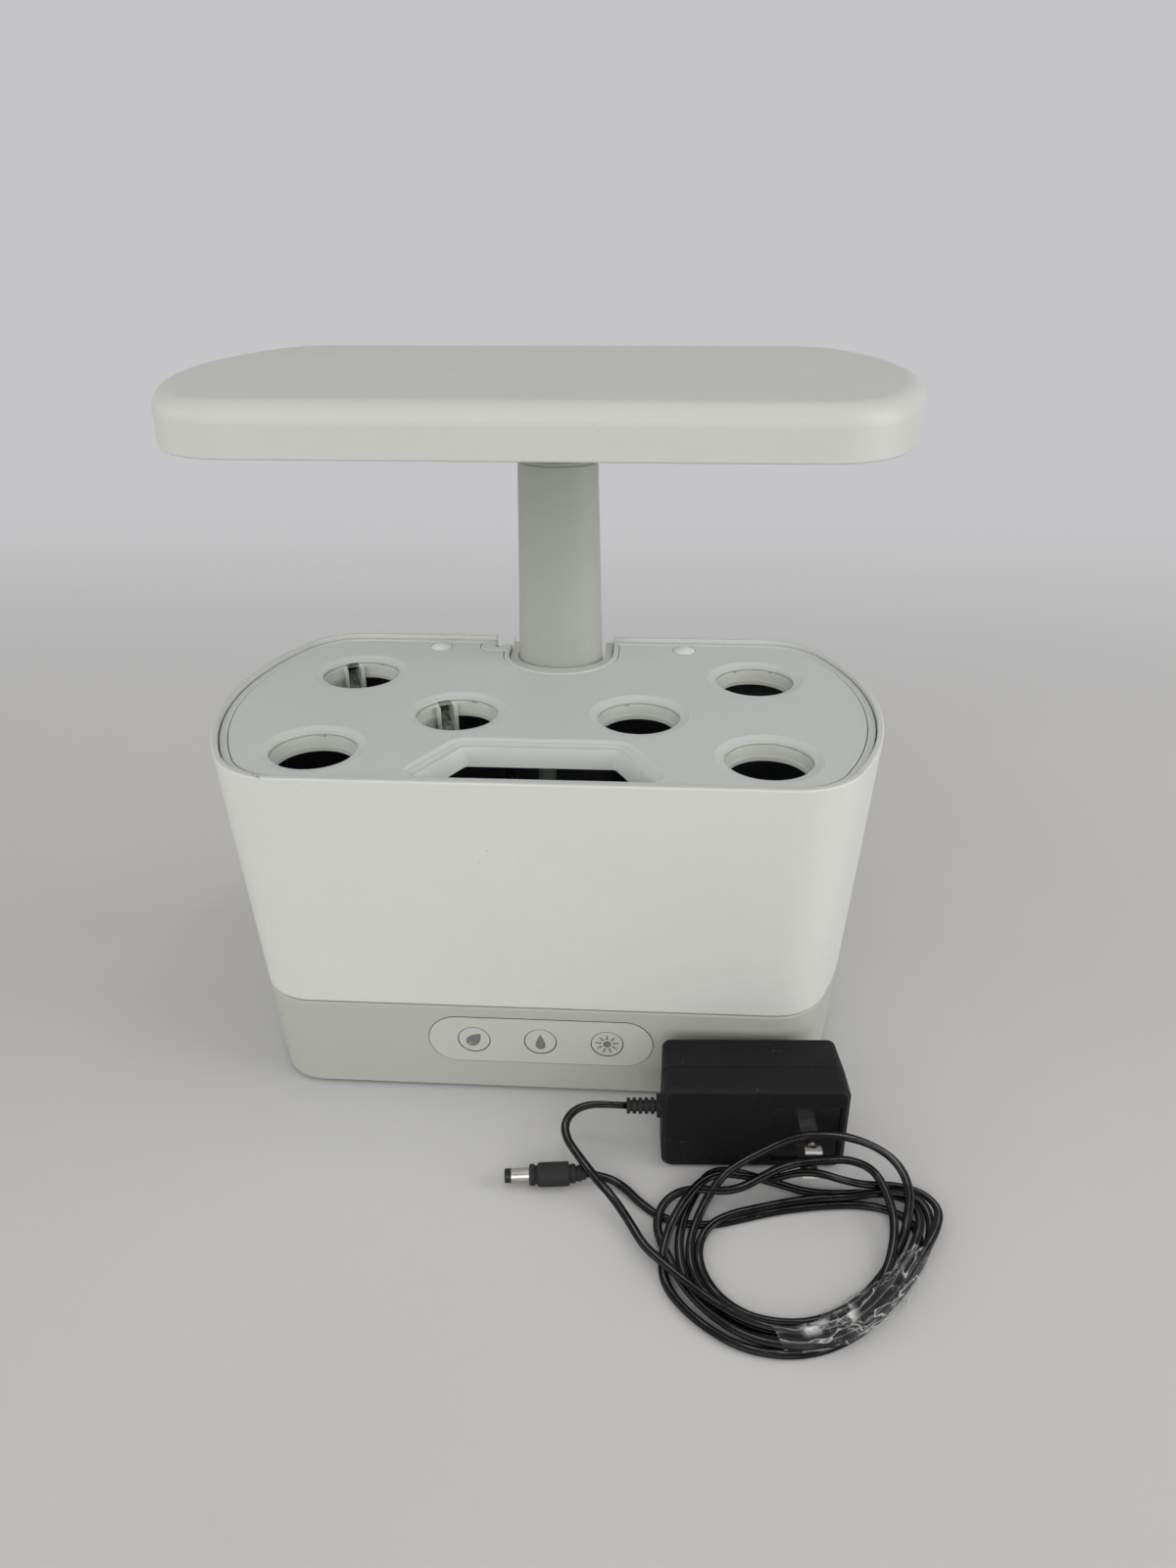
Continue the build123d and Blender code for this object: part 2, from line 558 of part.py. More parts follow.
def inner_tube():
    tube = oval(TUBE_A, TUBE_B, TUBE_FOOT_Z, TUBE_TOP_Z)
    return tube - oval(TUBE_A - TUBE_WALL, TUBE_B - TUBE_WALL, TUBE_FOOT_Z - 1, TUBE_TOP_Z + 1)


def slider_shoe():
    low = TUBE_FOOT_Z - 2.0
    shoe = oval(POST_BORE_A - SHOE_FIT, POST_BORE_B - SHOE_FIT, low, low + SHOE_H)
    shoe -= oval(TUBE_A, TUBE_B, TUBE_FOOT_Z, low + SHOE_H + 1)
    return shoe - oval(TUBE_A - TUBE_WALL, TUBE_B - TUBE_WALL, low - 1, TUBE_FOOT_Z + 1)


# ---- hood ----------------------------------------------------------------------------------
HOOD_IN_TOP = HOOD_TOP - HOOD_WALL
BEZEL_TOP = BEZEL_Z + BEZEL_T
DIFFUSER_Z = BEZEL_Z + 0.9
WINDOW_BACK = POST_Y - TUBE_B - 14.0


def window(inset, z0, z1):
    """The lit window: the hood's outline cut off in front of the tube."""
    body = slab(outline(inset), z0, z1)
    back = WINDOW_BACK - (inset - WINDOW_INSET)
    return body - prism(-RIM_HALF_W, RIM_HALF_W, back, RIM_HALF_D, z0 - 1, z1 + 1)


def hood_shell():
    outer = slab(outline(0), HOOD_Z, HOOD_TOP)
    outer = fillet(at_height(outer, HOOD_TOP), HOOD_ROUND)
    outer = fillet(at_height(outer, HOOD_Z), EDGE_ROUND)
    cavity = slab(outline(HOOD_WALL), HOOD_Z - MARGIN, HOOD_IN_TOP)
    cavity = fillet(at_height(cavity, HOOD_IN_TOP), HOOD_ROUND - HOOD_WALL)
    shell = outer - cavity
    for x, y in four(HOOD_SCREW_X, HOOD_SCREW_Y):
        shell += rod(x, y, BEZEL_TOP, HOOD_IN_TOP + 1, HOOD_BOSS_R)
        shell -= rod(x, y, BEZEL_TOP - 1, BEZEL_TOP + 8, SCREW_R)
    board_top = LED_BOARD_Z + LED_BOARD_T
    for x, y in led_board_holes():
        shell += rod(x, y, board_top, HOOD_IN_TOP + 1, HOOD_BOSS_R)
        shell -= rod(x, y, board_top - 1, board_top + 4, 1.1)
    bracket_top = BRACKET_Z + BRACKET_T
    for x, y in four(BRACKET_SCREW_X, BRACKET_SCREW_Y):
        shell += rod(x, y + POST_Y, bracket_top, HOOD_IN_TOP + 1, HOOD_BOSS_R)
        shell -= rod(x, y + POST_Y, bracket_top - 1, bracket_top + 4, 1.1)
    return shell


def led_board_holes():
    return [(x, y + LED_BOARD_Y) for x, y in four(LED_BOARD_W / 2 - 6, LED_BOARD_D / 2 - 5)]


def hood_bezel():
    plate = slab(outline(HOOD_WALL + BEZEL_FIT), BEZEL_Z, BEZEL_TOP)
    plate -= window(WINDOW_INSET, BEZEL_Z - 1, BEZEL_TOP + 1)
    plate -= window(WINDOW_INSET - DIFFUSER_LAP, DIFFUSER_Z, BEZEL_TOP + 1)
    plate -= oval(TUBE_A + 0.3, TUBE_B + 0.3, BEZEL_Z - 1, BEZEL_TOP + 1)
    for x, y in four(HOOD_SCREW_X, HOOD_SCREW_Y):
        pad = rod(x, y, BEZEL_Z, BEZEL_TOP, HOOD_BOSS_R + 1.0)
        plate = (plate + pad) - rod(x, y, BEZEL_Z - 1, BEZEL_TOP + 1, SCREW_R + 0.1)
    return plate


def diffuser():
    pane = window(WINDOW_INSET - DIFFUSER_LAP + 0.3, DIFFUSER_Z, DIFFUSER_Z + DIFFUSER_T)
    for x, y in four(HOOD_SCREW_X, HOOD_SCREW_Y):
        pane -= rod(x, y, DIFFUSER_Z - 1, DIFFUSER_Z + DIFFUSER_T + 1, HOOD_BOSS_R + 1.3)
    return pane


def led_board():
    y = LED_BOARD_Y
    board = prism(-LED_BOARD_W / 2, LED_BOARD_W / 2, y - LED_BOARD_D / 2, y + LED_BOARD_D / 2,
                  LED_BOARD_Z, LED_BOARD_Z + LED_BOARD_T)
    for x, hole_y in led_board_holes():
        board -= rod(x, hole_y, LED_BOARD_Z - 1, LED_BOARD_Z + LED_BOARD_T + 1, 1.3)
    top = LED_BOARD_Z + LED_BOARD_T
    return board + prism(-5, 5, 14, 22, top, top + 5.2)


def leds():
    chips = []
    for row in range(LED_ROWS):
        for column in range(LED_COLUMNS):
            x = (column - (LED_COLUMNS - 1) / 2) * LED_PITCH
            y = LED_BOARD_Y + (row - (LED_ROWS - 1) / 2) * LED_PITCH
            half = LED_SIZE / 2
            z = LED_BOARD_Z
            chips.append(prism(x - half, x + half, y - half, y + half, z - LED_T, z))
    return chips


def hood_bracket():
    w, d = BRACKET_HALF_W, BRACKET_HALF_D
    plate = prism(-w, w, POST_Y - d, POST_Y + d, BRACKET_Z, BRACKET_Z + BRACKET_T)
    plate += oval(TUBE_A + 2.6, TUBE_B + 2.6, BEZEL_TOP + 0.2, BRACKET_Z)
    plate -= oval(TUBE_A + 0.05, TUBE_B + 0.05, BEZEL_Z, BRACKET_Z + BRACKET_T + 1)
    for x, y in four(BRACKET_SCREW_X, BRACKET_SCREW_Y):
        plate -= rod(x, y + POST_Y, BRACKET_Z - 1, BRACKET_Z + BRACKET_T + 1, 1.3)
    return plate


def hood_screws():
    screws = [screw(x, y, BEZEL_Z, 1, SCREW_HEAD_R, SCREW_HEAD_H, SCREW_R - 0.05, BEZEL_T + 7)
              for x, y in four(HOOD_SCREW_X, HOOD_SCREW_Y)]
    screws += [screw(x, y, LED_BOARD_Z, 1, 2.2, 1.0, 1.05, LED_BOARD_T + 3.5)
               for x, y in led_board_holes()]
    screws += [screw(x, y + POST_Y, BRACKET_Z, 1, 2.2, 1.0, 1.05, BRACKET_T + 3.5)
               for x, y in four(BRACKET_SCREW_X, BRACKET_SCREW_Y)]
    return screws


def lamp_lead():
    z = HOOD_IN_TOP - LAMP_LEAD_R - 1.4
    return lead([(0, 22.0, z), (0, POST_Y, z), (0, POST_Y, TUBE_FOOT_Z - 24)], LAMP_LEAD_R, 7.5)


# ---- bowl ----------------------------------------------------------------------------------
def casing():
    outer = fillet(at_height(drafted(CASE_Z, RIM_Z), CASE_Z), EDGE_ROUND)
    outer = fillet(at_height(outer, RIM_Z), EDGE_ROUND)
    body = outer - drafted(TUB_LOW, RIM_Z + MARGIN, CASE_WALL)
    body += notch(CHANNEL_OUT, CASE_Z, LIP_TOP) & outer
    body -= notch(CHANNEL_OUT, LIP_TOP, RIM_Z + 1)
    body -= notch(CHANNEL_R, CASE_Z - 1, LIP_TOP - LIP_T)
    a, b = post_half(LIP_TOP - LIP_T)
    mouth = oval(a + LIP_GAP, b + LIP_GAP, LIP_TOP - LIP_T - 1, RIM_Z + 1)
    mouth += prism(-a - LIP_GAP, a + LIP_GAP, POST_Y, RIM_HALF_D + MARGIN, LIP_TOP - LIP_T - 1, RIM_Z + 1)
    body -= mouth
    body -= prism(POCKET_X[0], -a - LIP_GAP - 3.5, POCKET_Y + 2, RIM_HALF_D + MARGIN,
                  RING_TOP - POCKET_DEEP + 2, RIM_Z + 1)
    return body


def tub():
    body = drafted(TUB_LOW, TUB_TOP, TUB_INSET)
    flange_z = TUB_TOP - TUB_FLANGE
    body += drafted(flange_z, TUB_TOP, CASE_WALL + RING_GAP / 2)
    body -= notch(TUB_CHANNEL, TUB_LOW - 1, flange_z)
    body -= notch(CHANNEL_OUT + RING_GAP / 2, flange_z - 1, TUB_TOP + 1)
    inside = drafted(TUB_LOW + TUB_WALL, TUB_TOP + MARGIN, TUB_INSET + TUB_WALL)
    inside = fillet(at_height(inside, TUB_LOW + TUB_WALL), 4.0)
    return body - (inside - notch(TUB_CHANNEL + TUB_WALL, TUB_LOW, TUB_TOP + 2 * MARGIN))


PUMP_Z = TUB_LOW + TUB_WALL
PUMP_MOTOR_Z = PUMP_Z + PUMP_FOOT
PUMP_TOP = PUMP_Z + PUMP_H
ROTOR_Z = PUMP_MOTOR_Z + 4.0


def pump_body():
    body = rod(PUMP_X, PUMP_Y, PUMP_MOTOR_Z, PUMP_TOP, PUMP_R)
    body = fillet(at_height(body, PUMP_TOP), 2.0)
    body -= rod(PUMP_X, PUMP_Y, PUMP_MOTOR_Z - 1, ROTOR_Z + ROTOR_H + 1.0, ROTOR_R + 1.2)
    body += rod(PUMP_X, PUMP_Y, ROTOR_Z - 3.0, ROTOR_Z + ROTOR_H + 2.0, ROTOR_SHAFT_R)
    body += rod(PUMP_X + 6, PUMP_Y, PUMP_TOP - 0.5, PUMP_TOP + 5, RISER_R - RISER_WALL - 0.05)
    return body - rod(PUMP_X + 6, PUMP_Y, ROTOR_Z + ROTOR_H + 4, PUMP_TOP + 6, 1.8)


def pump_strainer():
    cup = rod(PUMP_X, PUMP_Y, PUMP_Z, PUMP_MOTOR_Z, PUMP_R)
    cup -= rod(PUMP_X, PUMP_Y, PUMP_Z + PUMP_WALL, PUMP_MOTOR_Z + 1, PUMP_R - PUMP_WALL)
    for step in range(10):
        turn = Pos(PUMP_X, PUMP_Y, PUMP_Z + PUMP_FOOT / 2) * Rot(0, 0, step * 36)
        cup -= turn * (Pos(PUMP_R, 0, 0) * Box(2 * PUMP_WALL + 1, 2.0, PUMP_FOOT - 4.0))
    return cup


def pump_foam():
    ring = rod(PUMP_X, PUMP_Y, PUMP_Z + PUMP_WALL, PUMP_Z + PUMP_WALL + FOAM_T,
               PUMP_R - PUMP_WALL - 0.1)
    return ring


def impeller():
    rotor = rod(PUMP_X, PUMP_Y, ROTOR_Z, ROTOR_Z + ROTOR_H, ROTOR_R - 0.8)
    for step in range(6):
        turn = Pos(PUMP_X, PUMP_Y, ROTOR_Z + 1.5) * Rot(0, 0, step * 60)
        rotor += turn * (Pos(ROTOR_R / 2, 0, 0) * Box(ROTOR_R, 0.9, 3.0))
    return rotor - rod(PUMP_X, PUMP_Y, ROTOR_Z - 1, ROTOR_Z + ROTOR_H + 1, ROTOR_SHAFT_R + ROTOR_FIT)


TROUGH_TOP = COLLAR_TOP
TROUGH_LOW = TROUGH_TOP - TROUGH_H


def riser_tube():
    tube = rod(PUMP_X + 6, PUMP_Y, PUMP_TOP, TROUGH_LOW - LIFT_FIT, RISER_R)
    return tube - rod(PUMP_X + 6, PUMP_Y, PUMP_TOP - 1, TROUGH_LOW, RISER_R - RISER_WALL)


def pump_lead():
    x, y, z = PUMP_LEAD_X, pump_lead_y(), TUB_TOP - 8.0
    top = RING_TOP - POCKET_DEEP + 0.6
    return lead([(PUMP_X - PUMP_R + 4, PUMP_Y, PUMP_TOP), (PUMP_X - PUMP_R + 4, PUMP_Y, PUMP_TOP + 14),
                 (x, y - 16, z - 18), (x, y, z - 10), (x, y, top)], PUMP_LEAD_R, 5.0)


# ---- deck ----------------------------------------------------------------------------------
RING_LOW = TUB_TOP + LIFT_FIT
PODS = mirrored_x(POD_XY)


def lobe(grow, z0, z1):
    """The rounded lobe of the ring on the left of the post, with a margin all round."""
    x0, y0 = LOBE_X - grow, LOBE_Y - grow
    block = prism(x0, -RING_NOTCH, y0, RIM_HALF_D - CASE_WALL - RING_GAP, z0, z1)
    corner = block.edges().filter_by(Axis.Z).sort_by(Axis.X)[:2].sort_by(Axis.Y)[:1]
    return fillet(corner, LOBE_R + grow)


def deck_ring():
    band = drafted(RING_LOW, RING_TOP, CASE_WALL + RING_GAP)
    inner = drafted(RING_LOW - 1, RING_TOP + 1, RING_IN)
    ledge_in = drafted(RING_LOW - 1, RING_TOP + 1, RING_IN + RING_LEDGE_W)
    ledge = slab(outline(0), DECK_LOW - RING_LEDGE_T, DECK_LOW) & (inner - ledge_in)
    ledge -= port(PORT_LIP - PORT_WALL - 0.6, DECK_LOW - RING_LEDGE_T - 1, DECK_LOW + 1)
    room = notch(RING_NOTCH, RING_LOW - 1, RING_TOP + 1)
    guard = (notch(RING_NOTCH_OUT, RING_LOW, RING_TOP) + lobe(0, RING_LOW, RING_TOP)) & band
    guard_ledge = notch(RING_NOTCH_OUT + RING_LEDGE_W, DECK_LOW - RING_LEDGE_T, DECK_LOW)
    guard_ledge += lobe(RING_LEDGE_W, DECK_LOW - RING_LEDGE_T, DECK_LOW)
    guard_ledge = guard_ledge & band
    ring = (band - inner) + ledge + guard + guard_ledge - room
    pocket = prism(POCKET_X[0], POCKET_X[1], POCKET_Y, RIM_HALF_D, RING_TOP - POCKET_DEEP, RING_TOP + 1)
    lead_way = rod(PUMP_LEAD_X, pump_lead_y(), RING_LOW - 1, RING_TOP, PUMP_LEAD_R + LIFT_FIT)
    ring = ring - pocket - lead_way
    top = at_height(ring, RING_TOP)
    return chamfer(top, 0.35)


def pump_lead_y():
    z = TUB_TOP - 22.0
    return RIM_HALF_D - lean(z) - TUB_INSET - TUB_WALL - PUMP_LEAD_R - 0.3


def port(inset, z0, z1, inset1=None):
    """The fill port's rounded trapezoid, moved in by inset, or tapering to inset1."""
    faces = []
    slope = hypot(1, PORT_SPLAY)
    for z, d in ((z0, inset), (z1, inset if inset1 is None else inset1)):
        back, front = PORT_BACK_Y - d, PORT_FRONT_Y + max(0.0, d - PORT_FRONT_CUT)
        half_back = PORT_BACK_HALF + PORT_SPLAY * d - slope * d
        half_front = half_back + PORT_SPLAY * (back - front)
        corners = [(-half_front, front), (half_front, front), (half_back, back), (-half_back, back)]
        face = make_face(Polyline(*corners, close=True))
        points = face.vertices().sort_by(Axis.Y)
        face = fillet(points[:2], max(1.0, PORT_FRONT_R - d))
        face = fillet(face.vertices().sort_by(Axis.Y)[-2:], max(1.0, PORT_BACK_R - d))
        faces.append(Pos(0, 0, z) * face)
    if inset1 is None:
        return extrude(faces[0], amount=z1 - z0, dir=(0, 0, 1))
    return loft(faces, ruled=True)


def deck_plate():
    plate = slab(outline(DECK_INSET + lean(DECK_Z)), DECK_LOW, DECK_Z)
    plate -= notch(DECK_NOTCH, DECK_LOW - 1, DECK_Z + 1)
    plate -= lobe(DECK_GAP, DECK_LOW - 1, DECK_Z + 1)
    funnel_low = DECK_Z - PORT_DEEP
    funnel = port(PORT_LIP - PORT_WALL, DECK_LOW, DECK_Z - 1.2)
    funnel += port(PORT_FUNNEL - PORT_WALL, funnel_low, DECK_LOW, PORT_LIP - PORT_WALL)
    plate += funnel
    plate -= port(PORT_BEVEL, DECK_Z - 0.8, DECK_Z + 0.01, 0.0)
    plate -= port(PORT_BEVEL + 2.4, DECK_Z - 1.3, DECK_Z - 0.79, PORT_BEVEL + 0.6)
    plate -= port(PORT_FUNNEL, funnel_low - 0.5, DECK_Z - 1.2, PORT_LIP)
    plate -= port(PORT_LIP, DECK_Z - 1.21, DECK_Z + 1)
    for x, y in PODS:
        dish = Pos(x, y, DECK_Z - POD_DISH_DEEP / 2) * Cone(POD_HOLE_R + 0.6, POD_DISH_R, POD_DISH_DEEP)
        plate -= [rod(x, y, DECK_LOW - 1, DECK_Z + 1, POD_HOLE_R), dish]
    for x, y in ((-PIP_X, PIP_Y), (PIP_X, PIP_Y)):
        plate -= rod(x, y, DECK_LOW - 1, DECK_Z + 1, PIP_PIN_R + 0.1)
        plate -= rod(x, y, DECK_Z - PIP_SUNK, DECK_Z + 1, PIP_R + PIP_GROOVE)
    return plate


def pod_collars():
    """Six collars under the deck's openings; two of them take in water through a chute."""
    low = COLLAR_TOP - POD_COLLAR_H
    collars = []
    for x, y in PODS:
        collar = rod(x, y, low, COLLAR_TOP, POD_BORE_R + POD_COLLAR_WALL)
        collar += rod(x, y, COLLAR_TOP - POD_FLANGE_T, COLLAR_TOP, POD_FLANGE_R)
        collar -= rod(x, y, low - 1, COLLAR_TOP + 1, POD_STEP_R)
        collar -= rod(x, y, low + POD_STEP_H, COLLAR_TOP + 1, POD_BORE_R)
        collar -= rod(x, y, COLLAR_TOP - POD_GROOVE, COLLAR_TOP + 1, POD_HOLE_R + 0.8)
        if x < 0 and y > POD_XY[0][1]:
            collar = chute(collar, Pos(x, y, low) * Rot(0, 0, SLOT_ANGLE))
            collar -= prism(-TROUGH_HALF_L, TROUGH_HALF_L, TROUGH_Y - TROUGH_W / 2,
                            TROUGH_Y + TROUGH_W / 2, TROUGH_LOW, TROUGH_TOP)
        collars.append(collar)
    return collars


def chute(collar, place):
    """Let the water into a pod: a sloping floor between two walls, and a deep apron beside them."""
    reach = CHUTE_OUT - CHUTE_IN
    wall_top = POD_COLLAR_H - CHUTE_DIP
    height = wall_top + CHUTE_DROP
    x, z = (CHUTE_OUT + CHUTE_IN) / 2, (wall_top - CHUTE_DROP) / 2
    walls = [place * (Pos(x, side * (SLOT_W + CHUTE_WALL) / 2, z) * Box(reach, CHUTE_WALL, height))
             for side in (-1, 1)]
    ramp = make_face(Polyline((CHUTE_IN, -CHUTE_DROP), (CHUTE_OUT, -CHUTE_DROP), (CHUTE_OUT, 1.0),
                              (CHUTE_IN, 1.6 - CHUTE_DROP), close=True))
    ramp = extrude(Plane.XZ * ramp, amount=SLOT_W / 2 + 0.1, both=True)
    slot_top = POD_COLLAR_H - POD_FLANGE_T
    slot = place * (Pos(x, 0, (slot_top - CHUTE_DROP) / 2) * Box(reach + 1, SLOT_W, slot_top + CHUTE_DROP - 0.02))
    apron = Cylinder(POD_BORE_R + POD_COLLAR_WALL, CHUTE_DROP + 1) - Cylinder(POD_BORE_R, CHUTE_DROP + 3)
    wedge = make_face(Polyline((0, 0), *((40 * cos(radians(turn)), 40 * sin(radians(turn)))
                                         for turn in APRON_TURN), close=True))
    apron = Pos(0, 0, (1 - CHUTE_DROP) / 2) * apron & Pos(0, 0, -CHUTE_DROP) * extrude(wedge, amount=CHUTE_DROP + 1)
    collar = collar + place * apron
    return (collar - slot) + walls + place * ramp


def deck_pips():
    pips = []
    for x in (-PIP_X, PIP_X):
        dome_r = (PIP_R ** 2 + PIP_H ** 2) / (2 * PIP_H)
        ball = Pos(x, PIP_Y, DECK_Z + PIP_H - dome_r) * Sphere(dome_r)
        dome = ball & rod(x, PIP_Y, DECK_Z, DECK_Z + PIP_H + 1, PIP_R)
        dome += rod(x, PIP_Y, DECK_Z - PIP_SUNK, DECK_Z, PIP_R)
        pips.append(dome + rod(x, PIP_Y, DECK_LOW, DECK_Z + 0.2, PIP_PIN_R))
    return pips


def water_trough():
    half, width = TROUGH_HALF_L, TROUGH_W
    y0, y1 = TROUGH_Y - width / 2, TROUGH_Y + width / 2
    trough = prism(-half, half, y0, y1, TROUGH_LOW, TROUGH_TOP)
    wall = TROUGH_WALL
    trough -= prism(-half + wall, half - wall, y0 + wall, y1 - wall, TROUGH_LOW + wall, TROUGH_TOP + 1)
    return trough - rod(PUMP_X + 6, PUMP_Y, TROUGH_LOW - 1, TROUGH_TOP, RISER_R - RISER_WALL)


# ---- mains adapter -------------------------------------------------------------------------
ADAPTER_PLANE = Location((ADAPTER_X, ADAPTER_Y, ADAPTER_H / 2), (0, 0, ADAPTER_YAW))


def adapter_section(inset, y):
    """The adapter's rounded section, standing across its depth at y from the parting line."""
    face = RectangleRounded(ADAPTER_W - 2 * inset, ADAPTER_H - 2 * inset, max(0.8, ADAPTER_R - inset))
    return Plane(origin=(0, y, 0), x_dir=(1, 0, 0), z_dir=(0, -1, 0)) * face


def adapter_front():
    shell = extrude(adapter_section(0, -0.15), amount=ADAPTER_FRONT_D - 0.15)
    front = shell.faces().sort_by(Axis.Y)[0]
    shell = chamfer(front.edges(), ADAPTER_CHAMFER)
    shell -= extrude(adapter_section(ADAPTER_WALL, MARGIN), amount=ADAPTER_FRONT_D - ADAPTER_WALL + MARGIN)
    hole = Pos(CARRIER_X, -ADAPTER_FRONT_D, CARRIER_Z) * Box(CARRIER_W + 0.4, 2 * CARRIER_T + 8, CARRIER_H + 0.4)
    shell -= hole
    rim = Pos(CARRIER_X, -ADAPTER_FRONT_D + 3.2, CARRIER_Z) * Box(CARRIER_W + 3.4, 6.4, CARRIER_H + 3.4)
    rim -= hole
    body_in = extrude(adapter_section(0.5, 0), amount=ADAPTER_FRONT_D - 0.5)
    shell += rim & body_in
    shell -= relief_room()
    return ADAPTER_PLANE * shell


def relief_room():
    """The round seat at the parting line that grips the strain relief's root."""
    seat = Pos(-ADAPTER_W / 2, 0, 0) * Rot(0, 90, 0)
    return seat * Cylinder(RELIEF_R, 4 * ADAPTER_WALL)


def adapter_back():
    depth = ADAPTER_BACK_D
    shell = loft([adapter_section(0, 0.15), adapter_section(ADAPTER_BACK_INSET, depth)], ruled=True)
    back = shell.faces().sort_by(Axis.Y)[-1]
    shell = fillet(back.edges(), 1.6)
    cavity = loft([adapter_section(ADAPTER_WALL, -1), adapter_section(ADAPTER_WALL + ADAPTER_BACK_INSET,
                                                                     depth - ADAPTER_WALL)], ruled=True)
    shell = shell - cavity - relief_room()
    tongue = extrude(adapter_section(ADAPTER_WALL + 0.05, 0.4), amount=1.6)
    tongue -= extrude(adapter_section(ADAPTER_WALL + 1.1, 1.4), amount=4.0)
    foot = extrude(adapter_section(ADAPTER_WALL - 0.5, 2.2), amount=1.8)
    foot -= extrude(adapter_section(ADAPTER_WALL + 1.1, 3.2), amount=4.0)
    seat = Pos(-ADAPTER_W / 2, 0, 0) * Rot(0, 90, 0)
    shell = shell + ((tongue + foot) - seat * Cylinder(RELIEF_R + 1.2, 6 * ADAPTER_WALL))
    return ADAPTER_PLANE * shell


def blade_heights():
    """The two blades' heights from the middle of the adapter."""
    return [CARRIER_Z - BLADE_PITCH / 2, CARRIER_Z + BLADE_PITCH / 2]


def blade_carrier():
    y = -ADAPTER_FRONT_D + CARRIER_SUNK + CARRIER_T / 2
    block = Pos(CARRIER_X, y, CARRIER_Z) * Box(CARRIER_W, CARRIER_T, CARRIER_H)
    block = fillet(block.edges().filter_by(Axis.Y), 1.2)
    for z in blade_heights():
        block -= Pos(CARRIER_X, y, z) * Box(BLADE_W, 2 * CARRIER_T, BLADE_T)
    return ADAPTER_PLANE * block


def prong_blades():
    face_y = -ADAPTER_FRONT_D + CARRIER_SUNK
    blades = []
    for z in blade_heights():
        length = BLADE_OUT + BLADE_IN
        y = face_y + BLADE_IN - length / 2
        blade = Pos(CARRIER_X, y, z) * Box(BLADE_W, length, BLADE_T)
        tip = blade.faces().sort_by(Axis.Y)[0]
        blade = chamfer(tip.edges().filter_by(Axis.X), 0.45)
        hole_y = face_y - BLADE_OUT + BLADE_HOLE_IN
        blade -= Pos(CARRIER_X, hole_y, z) * Cylinder(BLADE_HOLE_R, 3 * BLADE_T)
        blades.append(ADAPTER_PLANE * blade)
    return blades


def adapter_board():
    """The converter's circuit board under the blades, with its transformer and a capacitor."""
    top = CARRIER_Z - (BLADE_PITCH + BLADE_T) / 2
    board = Pos(-2, 1.7, top - 0.8) * Box(52, 16.2, 1.6)
    board += Pos(-10, 1.7, top + 8.5) * Box(18, 15, 17)
    return ADAPTER_PLANE * (board + Pos(8, 1.7, top + 6) * Cylinder(5, 12))


def ribbed(length, radius, groove, ribs, collar_r, collar_l, tip_r):
    """Half profile of a ribbed sleeve along +X, turned about X."""
    points = [(0, 0), (0, collar_r), (collar_l, collar_r)]
    pitch = (length - collar_l) / ribs
    for step in range(ribs):
        x = collar_l + step * pitch
        share = step / max(1, ribs - 1)
        r = radius + (tip_r - radius) * share
        points += [(x, r - groove), (x + 0.42 * pitch, r - groove), (x + 0.42 * pitch, r), (x + pitch, r)]
    points += [(length, 0)]
    return revolve(make_face(Polyline(*points, close=True)), axis=Axis.X)


def strain_relief():
    sleeve = ribbed(RELIEF_L, RELIEF_R, RELIEF_GROOVE, RELIEF_RIBS, RELIEF_COLLAR_R, RELIEF_COLLAR_L,
                    RELIEF_R - 0.1)
    root_l = ADAPTER_WALL + 1.6
    sleeve += Pos(-root_l / 2 + 0.1, 0, 0) * Rot(0, 90, 0) * Cylinder(RELIEF_R - 0.05, root_l + 0.2)
    sleeve += Pos(-root_l, 0, 0) * Rot(0, 90, 0) * Cylinder(RELIEF_R + 1.0, 1.2)
    return ADAPTER_PLANE * (Pos(-ADAPTER_W / 2, 0, 0) * Rot(0, 0, 180) * sleeve)


def relief_tip():
    tip = ADAPTER_PLANE * (Pos(-ADAPTER_W / 2 - RELIEF_L + 0.4, 0, 0) * Vertex(0, 0, 0))
    return tuple(tip.center())


# ---- cord and plug -------------------------------------------------------------------------
PLUG_FRAME = Location((PLUG_TIP[0], PLUG_TIP[1], PLUG_R), (0, 0, PLUG_YAW))


def plug_barrel():
    x0 = PLUG_TIP_L
    length = PLUG_BARREL_L - PLUG_TIP_L
    barrel = Pos(x0 + length / 2, 0, 0) * Rot(0, 90, 0) * Cylinder(PLUG_BARREL_R, length)
    barrel -= Pos(x0 + length / 2, 0, 0) * Rot(0, 90, 0) * Cylinder(PLUG_BARREL_R - 0.6, length + 1)
    return PLUG_FRAME * barrel


def plug_insulator():
    core = Pos(PLUG_BARREL_L / 2, 0, 0) * Rot(0, 90, 0) * Cylinder(PLUG_BARREL_R - 0.65, PLUG_BARREL_L)
    tip = Pos(PLUG_TIP_L / 2, 0, 0) * Rot(0, 90, 0) * Cylinder(PLUG_BARREL_R, PLUG_TIP_L)
    tip = fillet(tip.edges().sort_by(Axis.X)[:1], 0.4)
    bore = Pos(PLUG_BARREL_L / 2 - 1, 0, 0) * Rot(0, 90, 0) * Cylinder(PLUG_HOLE_R, PLUG_BARREL_L)
    return PLUG_FRAME * ((core + tip) - bore)


